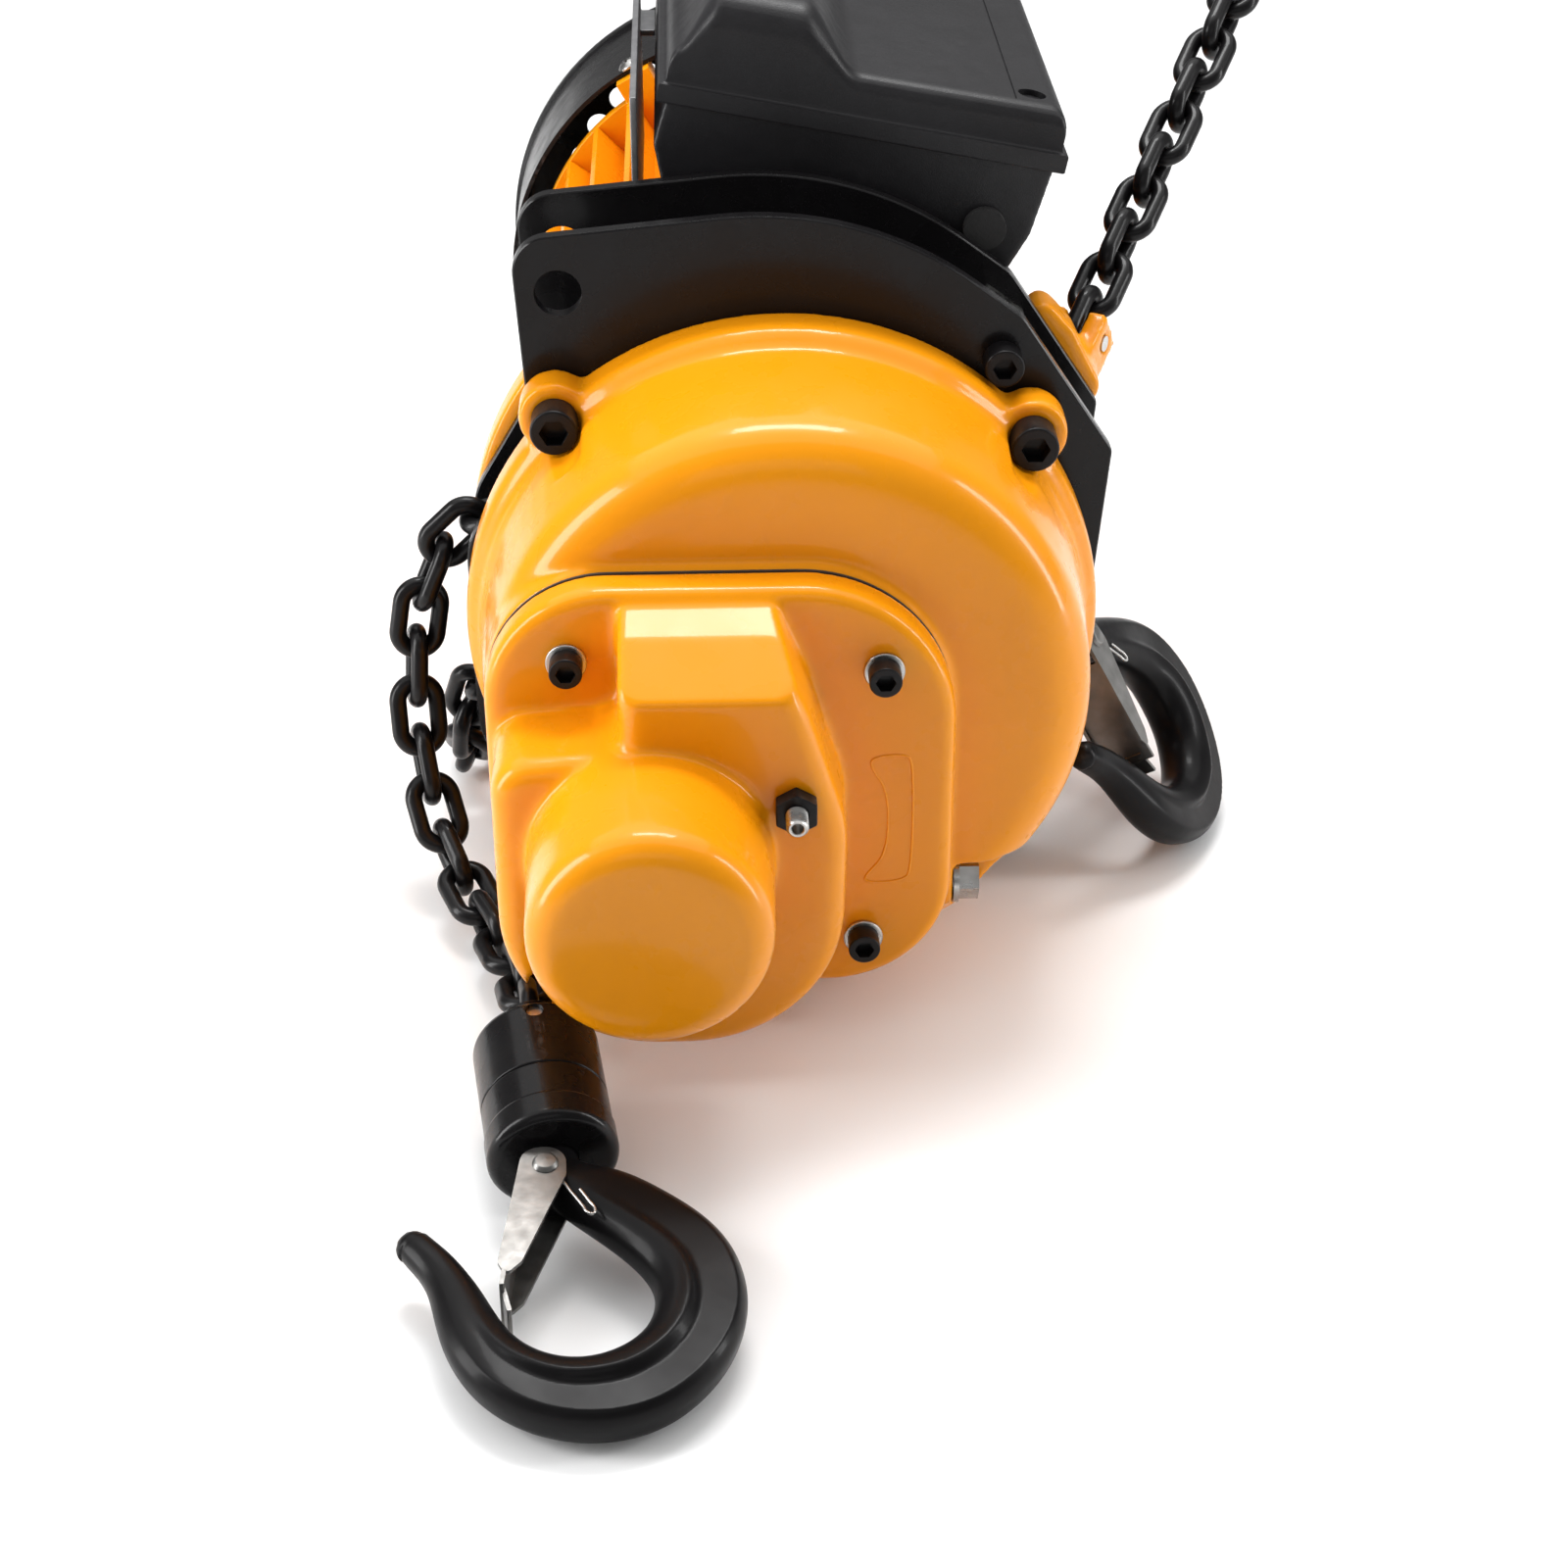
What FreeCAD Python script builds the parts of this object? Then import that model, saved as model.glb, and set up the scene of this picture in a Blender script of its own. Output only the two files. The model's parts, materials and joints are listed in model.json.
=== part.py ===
import FreeCAD, Part
import math
import os
from FreeCAD import Placement, Rotation, Vector

# Electric chain hoist, 1 t, lying on its side with the control box uppermost.
# Everything is laid out in hoist coordinates: the main axis of motor, load sheave and
# output gear runs along +Y through X = Z = 0, the front face of the front plate is Y = 0,
# the gear case is on the -Y side, the motor on the +Y side, the suspension hook at +X
# and the chain falls at -X.  The last step moves the part to the row's own origin.

# ---------------------------------------------------------------- driving dimensions
FLOOR_Z = -126.0            # surface the hoist lies on, below the main axis
ROW_ORIGIN = Vector(44.4, 45.4, FLOOR_Z)   # bottom centre of the overall box

PLATE_T = 6.0               # side plates
PLATE_GAP = 40.0            # clear gap between the side plates
MID_Y = PLATE_T + PLATE_GAP / 2.0
REAR_Y = PLATE_T + PLATE_GAP              # front face of the rear plate
PLATES_END_Y = REAR_Y + PLATE_T

CASE_R = 124.5              # flange of the gear case
CASE_FRONT_Y = -95.0        # joint face between gear case and gear cover
CASE_FACE_Y = -92.0         # face of the round case behind the joint boss
SHAFT_OFFSET = 56.0         # main axis to intermediate axis
SHAFT_OFFSET_ANGLE = 202.2  # degrees from +X towards +Z
GASKET_T = 1.0

STAGE1_MODULE = 1.6
STAGE1_PINION = 12
STAGE1_WHEEL = 58
STAGE2_MODULE = 2.0
STAGE2_PINION = 12
STAGE2_WHEEL = 44

CHAIN_D = 7.1               # load chain wire
CHAIN_PITCH = 21.0          # inside length of a link
LINK_SPACING = 20.6         # centre to centre with a little slack
LINK_OUTER_W = 23.1
SHEAVE_POCKETS = 5
CHAIN_LEVEL = 34.2          # falls above and below the main axis

MOTOR_FLANGE_R = 126.0
FIN_R = 112.0
FIN_COUNT = 32
HOUSING_R = 92.0
HOUSING_START_Y = 80.0
HOUSING_END_Y = 346.0
FAN_COVER_R = 124.0
FAN_COVER_START_Y = 352.0
FAN_COVER_END_Y = 430.0

BOX_TILT = 11.0             # control box leans this much about the main axis
BOX_SEAT = Vector(34.0, 62.0, 173.0)     # centre of the lid joint at the front wall
BOX_LENGTH = 190.0

HOOK_BOWL_R = 25.0          # inside radius of both hook bowls
HOOK_SEAT_DEPTH = 66.0      # shoulder of the shank to the bowl centre
RUNNING_GAP = 0.05          # radial clearance of shafts and pins that turn
BLOCK_R = 23.5
BLOCK_LENGTH = 70.0

PINION_CENTRE = Vector(
    SHAFT_OFFSET * math.cos(math.radians(SHAFT_OFFSET_ANGLE)), 0.0,
    SHAFT_OFFSET * math.sin(math.radians(SHAFT_OFFSET_ANGLE)))
AXIS_X = Vector(1, 0, 0)
AXIS_Y = Vector(0, 1, 0)
AXIS_Z = Vector(0, 0, 1)
ORIGIN = Vector(0, 0, 0)


# ---------------------------------------------------------------- shape helpers
def fuse_all(shapes):
    """One clean solid from several overlapping ones."""
    result = shapes[0]
    if len(shapes) > 1:
        result = shapes[0].fuse(shapes[1:])
    result = result.removeSplitter()
    return result.Solids[0] if len(result.Solids) == 1 else result


def group(shapes):
    """Separate solids kept together in one node."""
    return Part.makeCompound([solid for shape in shapes for solid in shape.Solids])


def rod_y(radius, y0, y1, x=0.0, z=0.0):
    return Part.makeCylinder(radius, y1 - y0, Vector(x, y0, z), AXIS_Y)


def ring_y(outer, inner, y0, y1, x=0.0, z=0.0):
    return rod_y(outer, y0, y1, x, z).cut(rod_y(inner, y0 - 1, y1 + 1, x, z))


def block(x0, x1, y0, y1, z0, z1):
    return Part.makeBox(x1 - x0, y1 - y0, z1 - z0, Vector(x0, y0, z0))


def rounded_wire(corners, to_point):
    """Closed outline through (a, b, radius) corners, each rounded by a tangent arc."""
    edges = []
    starts = []
    ends = []
    mids = []
    count = len(corners)
    for i in range(count):
        a, b, radius = corners[i]
        here = Vector(a, b, 0)
        before = Vector(corners[i - 1][0], corners[i - 1][1], 0) - here
        after = Vector(corners[(i + 1) % count][0], corners[(i + 1) % count][1], 0) - here
        before.normalize()
        after.normalize()
        half = before.getAngle(after) / 2.0
        if radius <= 0:
            starts.append(here)
            ends.append(here)
            mids.append(None)
            continue
        tangent = radius / math.tan(half)
        bisector = before + after
        bisector.normalize()
        starts.append(here + before * tangent)
        ends.append(here + after * tangent)
        mids.append(here + bisector * (radius / math.sin(half) - radius))
    for i in range(count):
        if mids[i] is not None:
            arc = Part.Arc(to_point(starts[i]), to_point(mids[i]), to_point(ends[i]))
            edges.append(arc.toShape())
        gap = starts[(i + 1) % count] - ends[i]
        if gap.Length > 1e-4:
            edges.append(Part.LineSegment(to_point(ends[i]), to_point(starts[(i + 1) % count])).toShape())
    return Part.Wire(Part.__sortEdges__(edges))


def prism_y(corners, y0, y1):
    """Rounded XZ outline drawn out along Y."""
    wire = rounded_wire(corners, lambda p: Vector(p.x, y0, p.y))
    return Part.Face(wire).extrude(Vector(0, y1 - y0, 0))


def turned_y(corners, x=0.0, z=0.0):
    """Rounded (radius, y) outline turned about the Y direction."""
    wire = rounded_wire(corners, lambda p: Vector(p.x, p.y, 0))
    solid = Part.Face(wire).revolve(ORIGIN, AXIS_Y, 360)
    solid.translate(Vector(x, 0, z))
    return solid


def turned_z(corners):
    """Rounded (radius, z) outline turned about Z."""
    wire = rounded_wire(corners, lambda p: Vector(p.x, 0, p.y))
    return Part.Face(wire).revolve(ORIGIN, AXIS_Z, 360)


def rod_z(radius, z0, z1):
    return Part.makeCylinder(radius, z1 - z0, Vector(0, 0, z0), AXIS_Z)


def rod_x(radius, start, length):
    return Part.makeCylinder(radius, length, start, AXIS_X)


def hex_prism_y(across_flats, y0, y1, x=0.0, z=0.0, turn=0.0):
    radius = across_flats / math.sqrt(3.0)
    points = []
    for i in range(7):
        angle = math.radians(60 * i + turn)
        points.append(Vector(x + radius * math.cos(angle), y0, z + radius * math.sin(angle)))
    return Part.Face(Part.makePolygon(points)).extrude(Vector(0, y1 - y0, 0))


def socket_bolt(size, length, seat):
    """Cap screw whose head sits on the face at `seat` and whose shank runs along +Y."""
    head_r = size * 0.75
    head = rod_y(head_r, seat.y - size, seat.y, seat.x, seat.z)
    rim = [edge for edge in head.Edges if abs(edge.BoundBox.YMax - (seat.y - size)) < 1e-3]
    head = head.makeFillet(size * 0.08, rim)
    socket = hex_prism_y(size * 0.8, seat.y - size - 1, seat.y - size * 0.45, seat.x, seat.z)
    shank = rod_y(size / 2.0, seat.y - 0.5, seat.y + length, seat.x, seat.z)
    return fuse_all([head, shank]).cut(socket)


def hex_nut_y(size, y0, y1, x, z, turn=0.0):
    body = hex_prism_y(size * 1.5, y0, y1, x, z, turn)
    dome = Part.makeCone(size * 1.15, size * 0.7, (y1 - y0) * 1.6, Vector(x, y1, z), Vector(0, -1, 0))
    return body.common(dome).cut(rod_y(size / 2.0 + 0.02, y0 - 1, y1 + 1, x, z))


def place(shape, placement):
    moved = shape.copy()
    moved.Placement = placement.multiply(moved.Placement)
    return moved


# ---------------------------------------------------------------- gears
def involute_point(base_r, roll, start_angle, mirrored):
    radius = base_r * math.sqrt(1 + roll * roll)
    angle = roll - math.atan(roll)
    angle = start_angle - angle if mirrored else start_angle + angle
    return Vector(radius * math.cos(angle), 0, radius * math.sin(angle))


def gear(module, teeth, y0, y1, bore_r, phase, centre=ORIGIN):
    """Spur gear with stub involute teeth; `phase` turns tooth 0 from +X, in degrees."""
    pressure = math.radians(25)
    backlash = 0.12
    pitch_r = module * teeth / 2.0
    base_r = pitch_r * math.cos(pressure)
    tip_r = pitch_r + 0.78 * module
    root_r = pitch_r - 1.1 * module
    half_tooth = math.pi / (2 * teeth) - backlash / pitch_r + math.tan(pressure) - pressure
    roll_end = math.sqrt((tip_r / base_r) ** 2 - 1)
    roll_start = math.sqrt(max((max(root_r, base_r) / base_r) ** 2 - 1, 0.0))
    edges = []
    for tooth in range(teeth):
        middle = 2 * math.pi * tooth / teeth
        rolls = [roll_start + (roll_end - roll_start) * k / 4.0 for k in range(5)]
        rising = [involute_point(base_r, roll, middle - half_tooth, False) for roll in rolls]
        falling = [involute_point(base_r, roll, middle + half_tooth, True) for roll in reversed(rolls)]
        root_a = Vector(root_r * math.cos(middle - half_tooth), 0, root_r * math.sin(middle - half_tooth))
        root_b = Vector(root_r * math.cos(middle + half_tooth), 0, root_r * math.sin(middle + half_tooth))
        following = middle + 2 * math.pi / teeth - half_tooth
        root_c = Vector(root_r * math.cos(following), 0, root_r * math.sin(following))
        if base_r > root_r + 0.01:
            edges.append(Part.LineSegment(root_a, rising[0]).toShape())
        else:
            root_a = rising[0]
            root_b = falling[-1]
            root_c = root_turned(rising[0], 2 * math.pi / teeth)
        edges.append(curve_through(rising))
        edges.append(Part.LineSegment(rising[-1], falling[0]).toShape())
        edges.append(curve_through(falling))
        if base_r > root_r + 0.01:
            edges.append(Part.LineSegment(falling[-1], root_b).toShape())
        edges.append(Part.LineSegment(root_b, root_c).toShape())
    face = Part.Face(Part.Wire(edges))
    solid = face.extrude(Vector(0, y1 - y0, 0))
    solid.rotate(ORIGIN, AXIS_Y, -phase)
    solid.translate(Vector(centre.x, y0, centre.z))
    if bore_r > 0:
        solid = solid.cut(rod_y(bore_r, y0 - 1, y1 + 1, centre.x, centre.z))
    return solid


def root_turned(point, angle):
    return Vector(point.x * math.cos(angle) - point.z * math.sin(angle), 0,
                  point.x * math.sin(angle) + point.z * math.cos(angle))


def curve_through(points):
    curve = Part.BSplineCurve()
    curve.interpolate(points)
    return curve.toShape()


# ---------------------------------------------------------------- side plates
CASE_BOLT_R = 123.7
CASE_BOLT_ANGLES = (39.8, 134.0, 219.8, 314.0)
FRAME_BOLT_SEAT_Y = -18.0
PLATE_BOLT = Vector(84.4, 0, 103.5)
POCKET_PIN = Vector(-83.5, 0, 132.5)
POCKET_PIN_R = 9.0
YOKE_PIVOT = Vector(110.0, MID_Y, -15.4)
YOKE_PIN_R = 8.0
PLATE_BORE_R = 31.0
PLATE_OUTLINE = [
    (-101, 153, 14), (30, 166, 140), (92, 120, 12), (129, 65, 6), (121, -40, 20),
    (74, -126, 12), (-74, -126, 12), (-124, -62, 40), (-124, 28, 30), (-96.5, 74, 10)]


def case_bolt_centres():
    centres = []
    for angle in CASE_BOLT_ANGLES:
        turn = math.radians(angle)
        centres.append(Vector(CASE_BOLT_R * math.cos(turn), 0, CASE_BOLT_R * math.sin(turn)))
    return centres


def side_plate(y0):
    plate = prism_y(PLATE_OUTLINE, y0, y0 + PLATE_T)
    rims = [edge for edge in plate.Edges if abs(edge.BoundBox.YLength) < 1e-6]
    plate = plate.makeChamfer(0.6, rims)
    holes = [rod_y(PLATE_BORE_R, y0 - 1, y0 + PLATE_T + 1),
             rod_y(POCKET_PIN_R, y0 - 1, y0 + PLATE_T + 1, POCKET_PIN.x, POCKET_PIN.z),
             rod_y(5.2, y0 - 1, y0 + PLATE_T + 1, PLATE_BOLT.x, PLATE_BOLT.z),
             rod_y(YOKE_PIN_R + RUNNING_GAP, y0 - 1, y0 + PLATE_T + 1, YOKE_PIVOT.x, YOKE_PIVOT.z)]
    for centre in case_bolt_centres():
        holes.append(rod_y(6.2, y0 - 1, y0 + PLATE_T + 1, centre.x, centre.z))
    for hole in holes:
        plate = plate.cut(hole)
    return plate


def plate_spacers():
    spacers = [ring_y(10.5, 6.2, PLATE_T, REAR_Y, c.x, c.z) for c in case_bolt_centres()]
    square = block(PLATE_BOLT.x - 9, PLATE_BOLT.x + 9, PLATE_T, REAR_Y, PLATE_BOLT.z - 9, PLATE_BOLT.z + 9)
    square.rotate(PLATE_BOLT, AXIS_Y, 37)
    spacers.append(square.cut(rod_y(5.2, 0, PLATES_END_Y, PLATE_BOLT.x, PLATE_BOLT.z)))
    return group(spacers)


def frame_bolts():
    return group([socket_bolt(12.0, 84.0, Vector(c.x, FRAME_BOLT_SEAT_Y, c.z)) for c in case_bolt_centres()])


def plate_bolt():
    bolt = socket_bolt(10.0, PLATES_END_Y + 10.0, Vector(PLATE_BOLT.x, 0, PLATE_BOLT.z))
    nut = hex_nut_y(10.0, PLATES_END_Y, PLATES_END_Y + 8.0, PLATE_BOLT.x, PLATE_BOLT.z)
    return group([bolt, nut])


# ---------------------------------------------------------------- gear case and cover
COVER_CENTRE = Vector(-25.5, 0, -21.0)
COVER_HALF = 86.0
COVER_CORNER_R = 46.0
COVER_SHOULDER_R = 58.0     # upper corner on the suspension side
COVER_SEAT_Y = -112.0       # face under the cover bolts
TIER_FACE_Y = -152.0        # raised face that carries the adjusting screw
ROOF_DROP = 23.0            # the raised housing's top slopes down by this towards its face
CAP_END_Y = -209.0
CAP_R = 44.0
COVER_BOLT_R = 81.6
COVER_BOLT_CENTRE = Vector(-26.7, 0, -23.5)
COVER_BOLT_ANGLES = (42.7, 131.5, 222.5, 311.5)
DRAIN = Vector(63.5, -84.0, -77.0)


def cover_outline(inset):
    half = COVER_HALF - inset
    corner = COVER_CORNER_R - inset * 0.6
    x, z = COVER_CENTRE.x, COVER_CENTRE.z
    return [(x - half, z + half, corner), (x + half, z + half, COVER_SHOULDER_R - inset * 0.6),
            (x + half, z - half, corner), (x - half, z - half, corner * 0.8)]


def tier_outline(inset):
    """Raised gear housing on the cover, notched at the upper left for a bolt."""
    return [(-62 + inset, 65 - inset, 9), (-8 - inset, 65 - inset, 12), (5 - inset, 34, 40),
            (19 - inset, -12, 60), (17 - inset, -107 + inset, 58 - inset),
            (-108 + inset, -107 + inset, 58 - inset), (-108 + inset, 16 - inset, 14),
            (-62 + inset, 20 - inset, 8)]


def roof_cut(depth):
    """Everything above the sloping top of the raised housing, `depth` below its surface."""
    top = 65.0 - depth
    points = [(-99, top), (-128, top - ROOF_DROP * 0.42), (TIER_FACE_Y - 1, top - ROOF_DROP),
              (TIER_FACE_Y - 1, 90), (-99, 90), (-99, top)]
    face = Part.Face(Part.makePolygon([Vector(-120, y, z) for y, z in points]))
    return face.extrude(Vector(180, 0, 0))


def cover_bolt_centres():
    centres = []
    for angle in COVER_BOLT_ANGLES:
        turn = math.radians(angle)
        centres.append(COVER_BOLT_CENTRE + Vector(COVER_BOLT_R * math.cos(turn), 0,
                                                  COVER_BOLT_R * math.sin(turn)))
    return centres


def round_front(solid, y, size):
    """Round the outer edges of the face at y."""
    rims = [edge for edge in solid.Edges
            if edge.BoundBox.YLength < 1e-3 and abs(edge.BoundBox.YMin - y) < 1e-3]
    return solid.makeFillet(size, rims)


def gear_case():
    outer = turned_y([(0, 0, 0), (CASE_R, 0, 1.5), (CASE_R, -17, 7), (118.5, -23, 5),
                      (113, CASE_FACE_Y, 20), (0, CASE_FACE_Y, 0)])
    boss = prism_y(cover_outline(0), CASE_FRONT_Y, -52)
    ears = [rod_y(14.0, FRAME_BOLT_SEAT_Y, -0.5, c.x, c.z) for c in case_bolt_centres()]
    webs = []
    for centre in case_bolt_centres():
        inward = Vector(-centre.x, 0, -centre.z)
        inward.normalize()
        side = Vector(-inward.z, 0, inward.x)
        corner = [centre + side * 14, centre + side * -14, centre + side * -20 + inward * 30,
                  centre + side * 20 + inward * 30, centre + side * 14]
        wire = Part.makePolygon([Vector(p.x, -14, p.z) for p in corner])
        webs.append(Part.Face(wire).extrude(Vector(0, 13.5, 0)))
    body = fuse_all([outer, boss] + ears + webs)
    hollow = turned_y([(0, 1, 0), (96, 1, 0), (96, -8, 0), (110, -14, 4), (106.5, -84, 14), (0, -84, 0)])
    mouth = prism_y(cover_outline(16), CASE_FRONT_Y - 1, -60)
    body = body.cut(hollow).cut(mouth)
    for centre in case_bolt_centres():
        body = body.cut(rod_y(6.2, -20, 2, centre.x, centre.z))
        body = body.cut(rod_y(10.2, -50, FRAME_BOLT_SEAT_Y, centre.x, centre.z))
    for centre in cover_bolt_centres():
        body = body.cut(rod_y(4.02, CASE_FRONT_Y - 1, CASE_FRONT_Y + 14, centre.x, centre.z))
    rib = rod_x(16.0, DRAIN - AXIS_X * 20, 62).common(outer)
    pad = rod_x(11.0, DRAIN - AXIS_X * 20, 20)
    spot_face = rod_x(12.0, DRAIN, 60)
    drain_hole = rod_x(6.02, DRAIN - AXIS_X * 28, 36)
    return fuse_all([body, rib, pad]).cut(spot_face).cut(drain_hole)


def case_gasket():
    ring = prism_y(cover_outline(0.3), CASE_FRONT_Y - GASKET_T, CASE_FRONT_Y)
    ring = ring.cut(prism_y(cover_outline(14), CASE_FRONT_Y - GASKET_T - 1, CASE_FRONT_Y + 1))
    for centre in cover_bolt_centres():
        ring = ring.cut(rod_y(4.4, CASE_FRONT_Y - 5, CASE_FRONT_Y + 5, centre.x, centre.z))
    return ring


def gear_cover():
    back = CASE_FRONT_Y - GASKET_T
    base = round_front(prism_y(cover_outline(0), COVER_SEAT_Y, back), COVER_SEAT_Y, 5)
    tier = round_front(prism_y(tier_outline(0), TIER_FACE_Y, back), TIER_FACE_Y, 8).cut(roof_cut(0))
    cap = turned_y([(0, back, 0), (CAP_R + 1, back, 0), (CAP_R - 1, CAP_END_Y, 11), (0, CAP_END_Y, 0)],
                   PINION_CENTRE.x, PINION_CENTRE.z)
    body = fuse_all([base, tier, cap])
    for centre in cover_bolt_centres():
        body = body.cut(rod_y(11.5, TIER_FACE_Y - 5, COVER_SEAT_Y, centre.x, centre.z))
    hollow = prism_y(tier_outline(7), TIER_FACE_Y + 7, back + 1).cut(roof_cut(7))
    hollow = hollow.fuse(prism_y(cover_outline(18), COVER_SEAT_Y + 6, back + 1))
    hollow = hollow.fuse(rod_y(CAP_R - 6, CAP_END_Y + 6, back + 1, PINION_CENTRE.x, PINION_CENTRE.z))
    hollow = hollow.fuse(rod_y(9.5, TIER_FACE_Y + 16, back))
    bolt_posts = [rod_y(8.5, COVER_SEAT_Y, back + 1, c.x, c.z) for c in cover_bolt_centres()]
    adjuster_boss = rod_y(11.0, TIER_FACE_Y, TIER_FACE_Y + 16)
    body = body.cut(hollow.cut(group(bolt_posts + [adjuster_boss])))
    for centre in cover_bolt_centres():
        body = body.cut(rod_y(4.3, COVER_SEAT_Y - 5, back + 5, centre.x, centre.z))
    return body.cut(rod_y(4.02, TIER_FACE_Y - 5, TIER_FACE_Y + 20))


def cover_bolts():
    seats = [Vector(c.x, COVER_SEAT_Y - 1.6, c.z) for c in cover_bolt_centres()]
    return group([socket_bolt(8.0, 28.0, seat) for seat in seats])


def cover_washers():
    return group([ring_y(7.5, 4.1, COVER_SEAT_Y - 1.6, COVER_SEAT_Y, c.x, c.z) for c in cover_bolt_centres()])


def adjuster_screw():
    screw = rod_y(4.0, TIER_FACE_Y - 15, TIER_FACE_Y + 22)
    return screw.cut(hex_prism_y(4.0, TIER_FACE_Y - 16, TIER_FACE_Y - 10))


def adjuster_nut():
    nut = hex_prism_y(14.5, TIER_FACE_Y - 6.5, TIER_FACE_Y, 0, 0, 30)
    return nut.cut(rod_y(4.02, TIER_FACE_Y - 8, TIER_FACE_Y + 1))


def clutch_springs():
    """Stack of dished washers between the adjusting screw and the thrust pad."""
    washers = []
    for i in range(4):
        y = TIER_FACE_Y + 25.5 + 2.2 * i
        washers.append(turned_y([(3, y, 0), (8.8, y + 0.8, 0), (8.8, y + 2.2, 0), (3, y + 1.4, 0)]))
    return group(washers)


def clutch_pad():
    return fuse_all([rod_y(8.8, TIER_FACE_Y + 22, TIER_FACE_Y + 25.5),
                     rod_y(2.8, TIER_FACE_Y + 25, TIER_FACE_Y + 36)])


def drain_plug():
    flange = rod_x(10.0, DRAIN, 2.2)
    points = []
    for i in range(7):
        angle = math.radians(60 * i)
        points.append(Vector(DRAIN.x + 2, DRAIN.y + 8.7 * math.cos(angle), DRAIN.z + 8.7 * math.sin(angle)))
    head = Part.Face(Part.makePolygon(points)).extrude(Vector(8, 0, 0))
    shank = rod_x(6.0, DRAIN - AXIS_X * 13.5, 14.0)
    return fuse_all([flange, head, shank])


# ---------------------------------------------------------------- gear train
OUTPUT_GEAR_Y = (-24.0, -8.0)
WHEEL_GEAR_Y = (-66.0, -54.0)
SHEAVE_JOURNAL_R = 22.0
SHEAVE_BORE_R = 8.2
MOTOR_SHAFT_R = 7.5
SPLINE_R = 17.0


def load_sheave():
    """Pocketed chain wheel on a hollow shaft that carries the output gear."""
    wheel = rod_y(41.0, MID_Y - 14, MID_Y + 14)
    wheel = wheel.cut(ring_y(45.0, 23.5, MID_Y - 4.6, MID_Y + 4.6))
    for pocket in range(SHEAVE_POCKETS):
        seat = block(-18.5, 18.5, MID_Y - 12.4, MID_Y + 12.4, CHAIN_LEVEL - 6.0, 50)
        rims = [edge for edge in seat.Edges if edge.BoundBox.ZLength > 5]
        seat = seat.makeFillet(11.5, rims)
        seat.rotate(ORIGIN, AXIS_Y, pocket * 360.0 / SHEAVE_POCKETS)
        wheel = wheel.cut(seat)
    hub = rod_y(25.0, MID_Y - 14, MID_Y + 14).cut(ring_y(30.0, 23.5, MID_Y - 4.6, MID_Y + 4.6))
    shaft = fuse_all([rod_y(SHEAVE_JOURNAL_R, -2, PLATES_END_Y + 1),
                      rod_y(SPLINE_R, OUTPUT_GEAR_Y[0] - 3, 0)])
    body = fuse_all([wheel, hub, shaft])
    return body.cut(rod_y(SHEAVE_BORE_R, -50, 80))


def output_gear():
    wheel = gear(STAGE2_MODULE, STAGE2_WHEEL, OUTPUT_GEAR_Y[0], OUTPUT_GEAR_Y[1], SPLINE_R,
                 SHAFT_OFFSET_ANGLE + 180.0 / STAGE2_WHEEL)
    for face_y in OUTPUT_GEAR_Y:
        wheel = wheel.cut(ring_y(36.0, 24.0, face_y - 4, face_y + 4))
    return wheel


def sheave_bearings():
    return group([ring_y(PLATE_BORE_R, SHEAVE_JOURNAL_R + RUNNING_GAP, 0, PLATE_T),
                  ring_y(PLATE_BORE_R, SHEAVE_JOURNAL_R + RUNNING_GAP, REAR_Y, PLATES_END_Y)])


def intermediate_shaft():
    c = PINION_CENTRE
    pinion = gear(STAGE2_MODULE, STAGE2_PINION, OUTPUT_GEAR_Y[0] - 2, OUTPUT_GEAR_Y[1] + 2, 0,
                  SHAFT_OFFSET_ANGLE, c)
    shaft = [rod_y(8.0, -6.5, -0.5, c.x, c.z), rod_y(9.0, -190, OUTPUT_GEAR_Y[0] - 1, c.x, c.z),
             rod_y(14.0, -78, WHEEL_GEAR_Y[0], c.x, c.z)]
    return fuse_all([pinion] + shaft)


def intermediate_gear():
    c = PINION_CENTRE
    wheel = gear(STAGE1_MODULE, STAGE1_WHEEL, WHEEL_GEAR_Y[0], WHEEL_GEAR_Y[1], 9.0,
                 SHAFT_OFFSET_ANGLE + 180.0 / STAGE1_WHEEL, c)
    for i in range(6):
        angle = math.radians(60 * i)
        wheel = wheel.cut(rod_y(9.0, -80, -40, c.x + 27 * math.cos(angle), c.z + 27 * math.sin(angle)))
    return wheel


def intermediate_bearings():
    c = PINION_CENTRE
    return group([ring_y(CAP_R - 6, 9.0 + RUNNING_GAP, -186, -172, c.x, c.z),
                  ring_y(16.0, 8.0 + RUNNING_GAP, -5.5, -0.2, c.x, c.z)])


# ---------------------------------------------------------------- motor and brake
SHIELD_START_Y = HOUSING_END_Y
SHIELD_END_Y = SHIELD_START_Y + 7.0
STATOR_Y = (116.0, 262.0)
ROTOR_R = 51.5
BRAKE_DISC_Y = (302.0, 307.0)
ARMATURE_Y = (307.2, 312.0)
COIL_Y = (313.0, 336.0)
FAN_Y = (374.0, 396.0)
FAN_SCREW_ANGLES = (30.0, 120.0, 210.0, 300.0)
ANCHOR = Vector(124.0, 80.0, 78.0)
TAIL_DIRECTION = Vector(78, 132, 98)
LUG_OUTLINE = [(92, 86, 3), (105, 108, 6), (119, 93, 8), (132, 68, 6), (119, 44, 4), (100, 50, 3)]


def along(direction, normal_hint):
    """Placement turning local +Z onto `direction` and local +X towards `normal_hint`."""
    axis_z = Vector(direction)
    axis_z.normalize()
    axis_x = Vector(normal_hint) - axis_z * axis_z.dot(normal_hint)
    axis_x.normalize()
    axis_y = axis_z.cross(axis_x)
    return Rotation(axis_x, axis_y, axis_z, "ZXY")


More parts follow.
